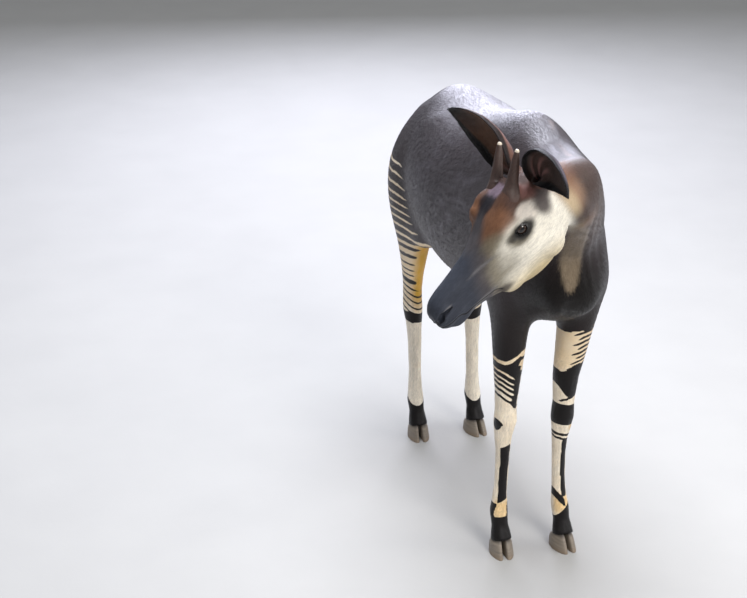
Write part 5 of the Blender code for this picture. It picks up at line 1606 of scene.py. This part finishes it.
def tuftTree():
    tree = bpy.data.node_groups.new("tuftsOnCoat", "GeometryNodeTree")
    sockets = {}
    for name, kind, start in [
        ("Geometry", "Geometry", None),
        ("Per Area", "Float", 20000.0),
        ("Yaw", "Float", 0.3),
        ("Rise", "Float", 0.05),
        ("Seed", "Int", 1),
        ("Blade", "Object", None),
        ("Look", "Material", None),
    ]:
        socket = tree.interface.new_socket(name=name, in_out="INPUT", socket_type="NodeSocket" + kind)
        if start is not None:
            socket.default_value = start
        sockets[name] = socket.identifier
    tree.interface.new_socket(name="Geometry", in_out="OUTPUT", socket_type="NodeSocketGeometry")
    given = nodeOf(tree, "NodeGroupInput").outputs

    def named(name, kind="FLOAT_VECTOR"):
        return nodeOf(tree, "GeometryNodeInputNamedAttribute", {"Name": name}, data_type=kind).outputs[0]

    def times(a, b):
        return mathNode(tree, "MULTIPLY", a, b)

    def drawn(low, high, seed):  # sockets 2 and 3 are the limits of a plain number
        inputs = {2: low, 3: high, "Seed": mathNode(tree, "ADD", given["Seed"], seed)}
        return nodeOf(tree, "FunctionNodeRandomValue", inputs, data_type="FLOAT").outputs[1]

    def joined(x, y, z):
        return nodeOf(tree, "ShaderNodeCombineXYZ", {"X": x, "Y": y, "Z": z}).outputs[0]

    hair = nodeOf(tree, "ShaderNodeSeparateXYZ", {0: named("hair")}).outputs
    inputs = {
        "Mesh": given["Geometry"],
        "Density": times(given["Per Area"], hair["X"]),
        "Seed": given["Seed"],
    }
    scatter = nodeOf(tree, "GeometryNodeDistributePointsOnFaces", inputs, distribute_method="RANDOM")
    inputs = {0: named("outWay"), 1: named("lie")}
    axes = nodeOf(tree, "FunctionNodeAxesToRotation", inputs, primary_axis="Z", secondary_axis="Y")
    rise = mathNode(tree, "ADD", hair["Z"], times(given["Rise"], drawn(-0.3, 1.0, 11)))
    angles = joined(rise, 0.0, times(given["Yaw"], drawn(-1.0, 1.0, 12)))
    turn = nodeOf(tree, "FunctionNodeEulerToRotation", {0: angles})
    inputs = {0: axes.outputs[0], 1: turn.outputs[0]}
    both = nodeOf(tree, "FunctionNodeRotateRotation", inputs, rotation_space="LOCAL")
    width = times(named("hairWidth", "FLOAT"), drawn(0.7, 1.3, 13))
    size = joined(width, times(hair["Y"], drawn(0.65, 1.25, 14)), width)
    blade = nodeOf(tree, "GeometryNodeObjectInfo", {"Object": given["Blade"]}, transform_space="ORIGINAL")
    inputs = {
        "Points": scatter.outputs["Points"],
        "Instance": blade.outputs["Geometry"],
        "Rotation": both.outputs[0],
        "Scale": size,
    }
    spread = nodeOf(tree, "GeometryNodeInstanceOnPoints", inputs)
    real = nodeOf(tree, "GeometryNodeRealizeInstances", {0: spread.outputs["Instances"]})
    inputs = {"Mesh": given["Geometry"], "Value": named("mark")}
    under = nodeOf(tree, "GeometryNodeSampleNearestSurface", inputs, data_type="FLOAT_VECTOR")
    inputs = {"Geometry": real.outputs[0], "Name": "mark", "Value": under.outputs["Value"]}
    keep = nodeOf(tree, "GeometryNodeStoreNamedAttribute", inputs, data_type="FLOAT_VECTOR", domain="POINT")
    inputs = {"Geometry": keep.outputs["Geometry"], "Material": given["Look"]}
    dress = nodeOf(tree, "GeometryNodeSetMaterial", inputs)
    nodeOf(tree, "NodeGroupOutput", {0: dress.outputs[0]})
    return tree, sockets


def bakePatches(piece, roots, ways, bladeSpread):  # each tuft: a small patch at its root's place on the skin
    low, high = np.array(cadBox[0]), np.array(cadBox[1])
    part = (roots - low) / (high - low).max()
    facing = np.argmax(np.abs(ways), axis=1)
    behind = ways[np.arange(len(ways)), facing] < 0
    cell = facing * 2 + behind
    plane = np.take_along_axis(part, np.array([(1, 2), (0, 2), (0, 1)])[facing], 1)
    corner = np.stack([(cell % 3) / 3, (cell // 3) / 2], 1)
    places = np.zeros((len(roots), 2))
    for index in range(6):
        ours = cell == index
        if ours.any():
            least, most = plane[ours].min(0), plane[ours].max(0)
            fitted = (plane[ours] - least) / np.maximum(most - least, 1e-6)
            room = np.array((1 / 3, 1 / 2)) - 2 * coatPlan["margin"]
            places[ours] = corner[ours] + coatPlan["margin"] + fitted * room
    vertices = np.empty(len(piece.data.loops), np.int32)
    piece.data.loops.foreach_get("vertex_index", vertices)
    rows = (places + bladeSpread * coatPlan["patch"])[vertices]
    for layer in list(piece.data.uv_layers):
        piece.data.uv_layers.remove(layer)
    piece.data.uv_layers.new(name="OFBake").data.foreach_set("uv", np.asarray(rows, np.float32).ravel())


def grown(piece, perArea, seed, look):  # the tufts take the place of the mesh that they stand on
    grow = piece.modifiers.new("tufts", "NODES")
    grow.node_group = growth
    for socket, value in [
        ("Per Area", perArea),
        ("Yaw", coatPlan["yaw"]),
        ("Rise", coatPlan["rise"]),
        ("Seed", seed),
        ("Blade", blade),
        ("Look", look),
    ]:
        grow[growthSockets[socket]] = value
    base = piece.data
    settled(piece)
    bpy.data.meshes.remove(base)
    made = len(piece.data.vertices) // len(bladeSpots)
    roots, ways = (rowsOf(piece.data.attributes[field].data) for field in ("place", "outWay"))
    bakePatches(piece, roots, ways, np.tile(bladeSpots, (made, 1)))
    for field in ("hair", "hairWidth", "lie", "outWay"):
        piece.data.attributes.remove(piece.data.attributes[field])
    print("okapi:", piece.name, made, "tufts,", len(piece.data.polygons), "triangles")


print("okapi: coat")
blade = bladePiece()
bladeSpots = np.array([(across, along - 0.5) for across, along, above, tip in bladeShape]) * 0.8
growth, growthSockets = tuftTree()
coatTuftLook, faceTuftLook = coatMaterial("coatTufts", True), coatMaterial("faceTufts", True, **faceFinish)
onTail = (poseY > 1.12) | ((poseY > 1.075) & (np.abs(poseX) < 0.045) & (poseZ > 1.13))
onEars = earShare > 0
faceOnly, isHead = ~onEars & (onHead > 0.5), onEars | (onHead > 0.5)
onNeck = ~isHead & (poseY < -0.02 + 0.25 * (poseZ - 1.2)) & (poseZ > 0.93)
lower = ~isHead & ~onTail & (poseZ < 0.90)
trunk = ~isHead & ~onTail & ~onNeck & ~lower
foreHalf, belowKnee = poseY < 0.42, poseZ < 0.62
zones = {
    "coatFace": (faceOnly & (local[:, 0] > -0.02), "face"),
    "coatCrown": (faceOnly & (local[:, 0] <= -0.02), "face"),
    "coatEars": (onEars, "ear"),
    "coatNeck": (onNeck, "coat"),
    "coatShoulders": (trunk & (poseY < 0.38), "coat"),
    "coatFlanks": (trunk & (poseY >= 0.38) & (poseY < 0.74), "coat"),
    "coatHaunches": (trunk & (poseY >= 0.74), "coat"),
    "coatTail": (onTail, "coat"),
    "coatForeLegs": (lower & foreHalf & belowKnee, "leg_coat"),
    "coatForeArms": (lower & foreHalf & ~belowKnee, "coat"),
    "coatHindLegs": (lower & ~foreHalf & belowKnee, "leg_coat"),
    "coatThighs": (lower & ~foreHalf & ~belowKnee, "leg_coat"),
}
coatPieces = []
perArea = coatPlan["bodyPerArea"] * 1
for order, (name, (mask, slotName)) in enumerate(zones.items()):
    base = skin.data.copy()
    hair = np.stack([density * mask, length, lift], 1)
    base.attributes["hair"].data.foreach_set("vector", np.asarray(hair, np.float32).ravel())
    piece = placed(name, base)
    look = faceTuftLook if slotName in ("face", "ear") else coatTuftLook
    grown(piece, perArea, coatPlan["seed"] + 100 * order, look)
    coatPieces.append((piece, slotName))


# lashes on the upper lids
lashPlan = {
    "length": 0.0085,
    "width": 0.0005,
    "perArea": 2200000,
    "reach": (14, 162),
    "steps": 22,
    "rises": (0.0004, 0.0014),
}


def lashStrip():
    points, faces, ways, lies = [], [], [], []
    ball = headFrame["eyeRadius"] + lidPlan["thickness"] * 0.6
    least, most = lashPlan["reach"]
    for side in (1, -1):
        turn, centre, first = gazeTurn(side), eyeCentre(side), len(points)
        for k in range(lashPlan["steps"] + 1):
            angle = math.radians(least + (most - least) * k / lashPlan["steps"])
            c, s = math.cos(angle), math.sin(angle)
            x, y = lidEdge(c, s)
            for rise in lashPlan["rises"]:
                spot = Vector((x, y + rise, 0))
                spot.z = math.sqrt(max(ball**2 - spot.x**2 - spot.y**2, 0))
                points.append(centre + turn @ spot)
                lie = Vector((0.35 * c, 0.15 + 0.25 * s, 1)).normalized()
                lies.append(turn @ lie)
                ways.append(turn @ lie.cross(Vector((1, 0, 0))).cross(lie).cross(lie).normalized() * -1)
        for k in range(lashPlan["steps"]):
            p = first + 2 * k
            faces.append((p, p + 1, p + 3, p + 2))
    strip = fromFaces("lashes", points, faces)
    rows = len(points)
    writeFields(
        strip.data,
        tone=np.tile(tones["eyeRing"], (rows, 1)),
        mark=np.tile((0.0, 3.0, 0.0), (rows, 1)),
        place=points,
        outWay=ways,
        lie=lies,
        grain=points,
        clear=np.ones(rows),
        hair=np.tile((1.0, lashPlan["length"], 0.0), (rows, 1)),
        hairWidth=np.full(rows, lashPlan["width"]),
        shine=np.full(rows, 0.3),
    )
    return strip


lashes = lashStrip()
grown(lashes, lashPlan["perArea"], coatPlan["seed"], faceTuftLook)
coatPieces.append((lashes, "face"))
bpy.data.objects.remove(blade)

# finishes of the other pieces
hornLook, hoofLook, eyeLook = hornMaterial(), hoofMaterial(), eyeMaterial()
for side, piece in hornPieces.items():
    rows = inHead(meshPoints(piece.data)) * np.array((1, side, 1))
    tip = alongPath(rows, np.array(hornPlan["stations"])[:, :3])[1]
    writeFields(piece.data, tip=tip, grain=rows * np.array((0.2, 1, 0.5)))
    piece.data.materials.append(hornLook)
for piece, node in hoofPieces:
    heights = meshPoints(piece.data)[:, 2]
    writeFields(piece.data, level=heights / heights.max())
    piece.data.materials.append(hoofLook)
for piece in eyePieces.values():
    piece.data.materials.append(eyeLook)
tailTuft.data.materials.append(hairMaterial("tailHair", (0.006, 0.005, 0.005), (0.034, 0.025, 0.022)))
writeFields(tailTuft.data, place=meshPoints(tailTuft.data))
lockPoint = np.arange(len(tailRoots)) % 32
lockSpread = np.stack([lockPoint % 4 / 4, lockPoint // 4 / 8], 1) * 0.8
bakePatches(tailTuft, tailRoots, np.tile((1.0, 0.0, 0.0), (len(tailRoots), 1)), lockSpread)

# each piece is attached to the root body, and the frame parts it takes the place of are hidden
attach(skin, "root")
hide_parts(*fleshNodes, "ear_left", "ear_right")
for piece, slotName in coatPieces:
    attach(piece, "root")
for side, which in ((1, "left"), (-1, "right")):
    for piece, node, slotName in ((hornPieces[side], "horn_", "horn"), (eyePieces[side], "eye_", "eye")):
        piece.data.shade_smooth()
        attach(piece, "root")
        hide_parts(node + which)
for piece, node in hoofPieces:
    piece.data.shade_smooth()
    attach(piece, "root")
    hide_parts(node)
tailTuft.data.shade_smooth()
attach(tailTuft, "root")
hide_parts("tail_tuft")

# stage
stagePlan = {
    "camera": (-2.091, -5.074, 3.256),
    "azimuth": -16.80,
    "elevation": 23.17,
    "pixels": 1853.4,
    "width": 747,
    "sensor": 36,
    "reach": 30,
    "world": (0.80, 0.82, 0.85, 1),
    "worldLight": 0.40,
}
lightPlan = {  # place, aim, size, power, colour
    "keyLight": ((1.0, -4.6, 4.6), (0, -0.3, 0.8), 2.4, 220, (1.0, 0.97, 0.93)),
    "skyLight": ((0.2, 0.8, 4.6), (0, 0.2, 0.9), 3.0, 245, (0.90, 0.93, 1.0)),
    "backLight": ((1.2, 5.4, 3.4), (0, 0, 1.0), 3.6, 300, (0.84, 0.86, 1.0)),
    "fillLight": ((4.4, -1.8, 2.2), (0, -0.3, 0.8), 2.6, 60, (1.0, 0.97, 0.93)),
}
print("okapi: stage")
reach = stagePlan["reach"]
corners = [(-reach, -reach, 0), (reach, -reach, 0), (reach, reach, 0), (-reach, reach, 0)]
floor = fromFaces("floor", corners, [(0, 1, 2, 3)])
floor.data.materials.append(floorMaterial())
cameraData = bpy.data.cameras.new("camera")
cameraData.sensor_width = stagePlan["sensor"]
cameraData.lens = stagePlan["sensor"] * stagePlan["pixels"] / stagePlan["width"]
camera = placed("camera", cameraData)
azimuth, elevation = math.radians(stagePlan["azimuth"]), math.radians(stagePlan["elevation"])
flat = math.cos(elevation)
back = Vector((math.sin(azimuth) * flat, -math.cos(azimuth) * flat, math.sin(elevation)))
right = Vector((math.cos(azimuth), math.sin(azimuth), 0))
cameraTurn = Matrix((right, back.cross(right), back)).transposed().to_4x4()
camera.matrix_world = Matrix.Translation(Vector(stagePlan["camera"]) + shift) @ cameraTurn
bpy.context.scene.camera = camera
for name, (place, aim, size, power, colour) in lightPlan.items():
    data = bpy.data.lights.new(name, "AREA")
    data.shape, data.size, data.energy, data.color = "DISK", size, power, colour
    way = (Vector(aim) - Vector(place)).normalized()
    lightTurn = way.to_track_quat("-Z", "Y").to_matrix().to_4x4()
    placed(name, data).matrix_world = Matrix.Translation(Vector(place)) @ lightTurn
world = bpy.data.worlds.new("studio")
world.use_nodes = True
background = world.node_tree.nodes["Background"]
background.inputs["Color"].default_value = stagePlan["world"]
background.inputs["Strength"].default_value = stagePlan["worldLight"]
bpy.context.scene.world = world
bpy.context.scene.view_settings.view_transform = "Standard"
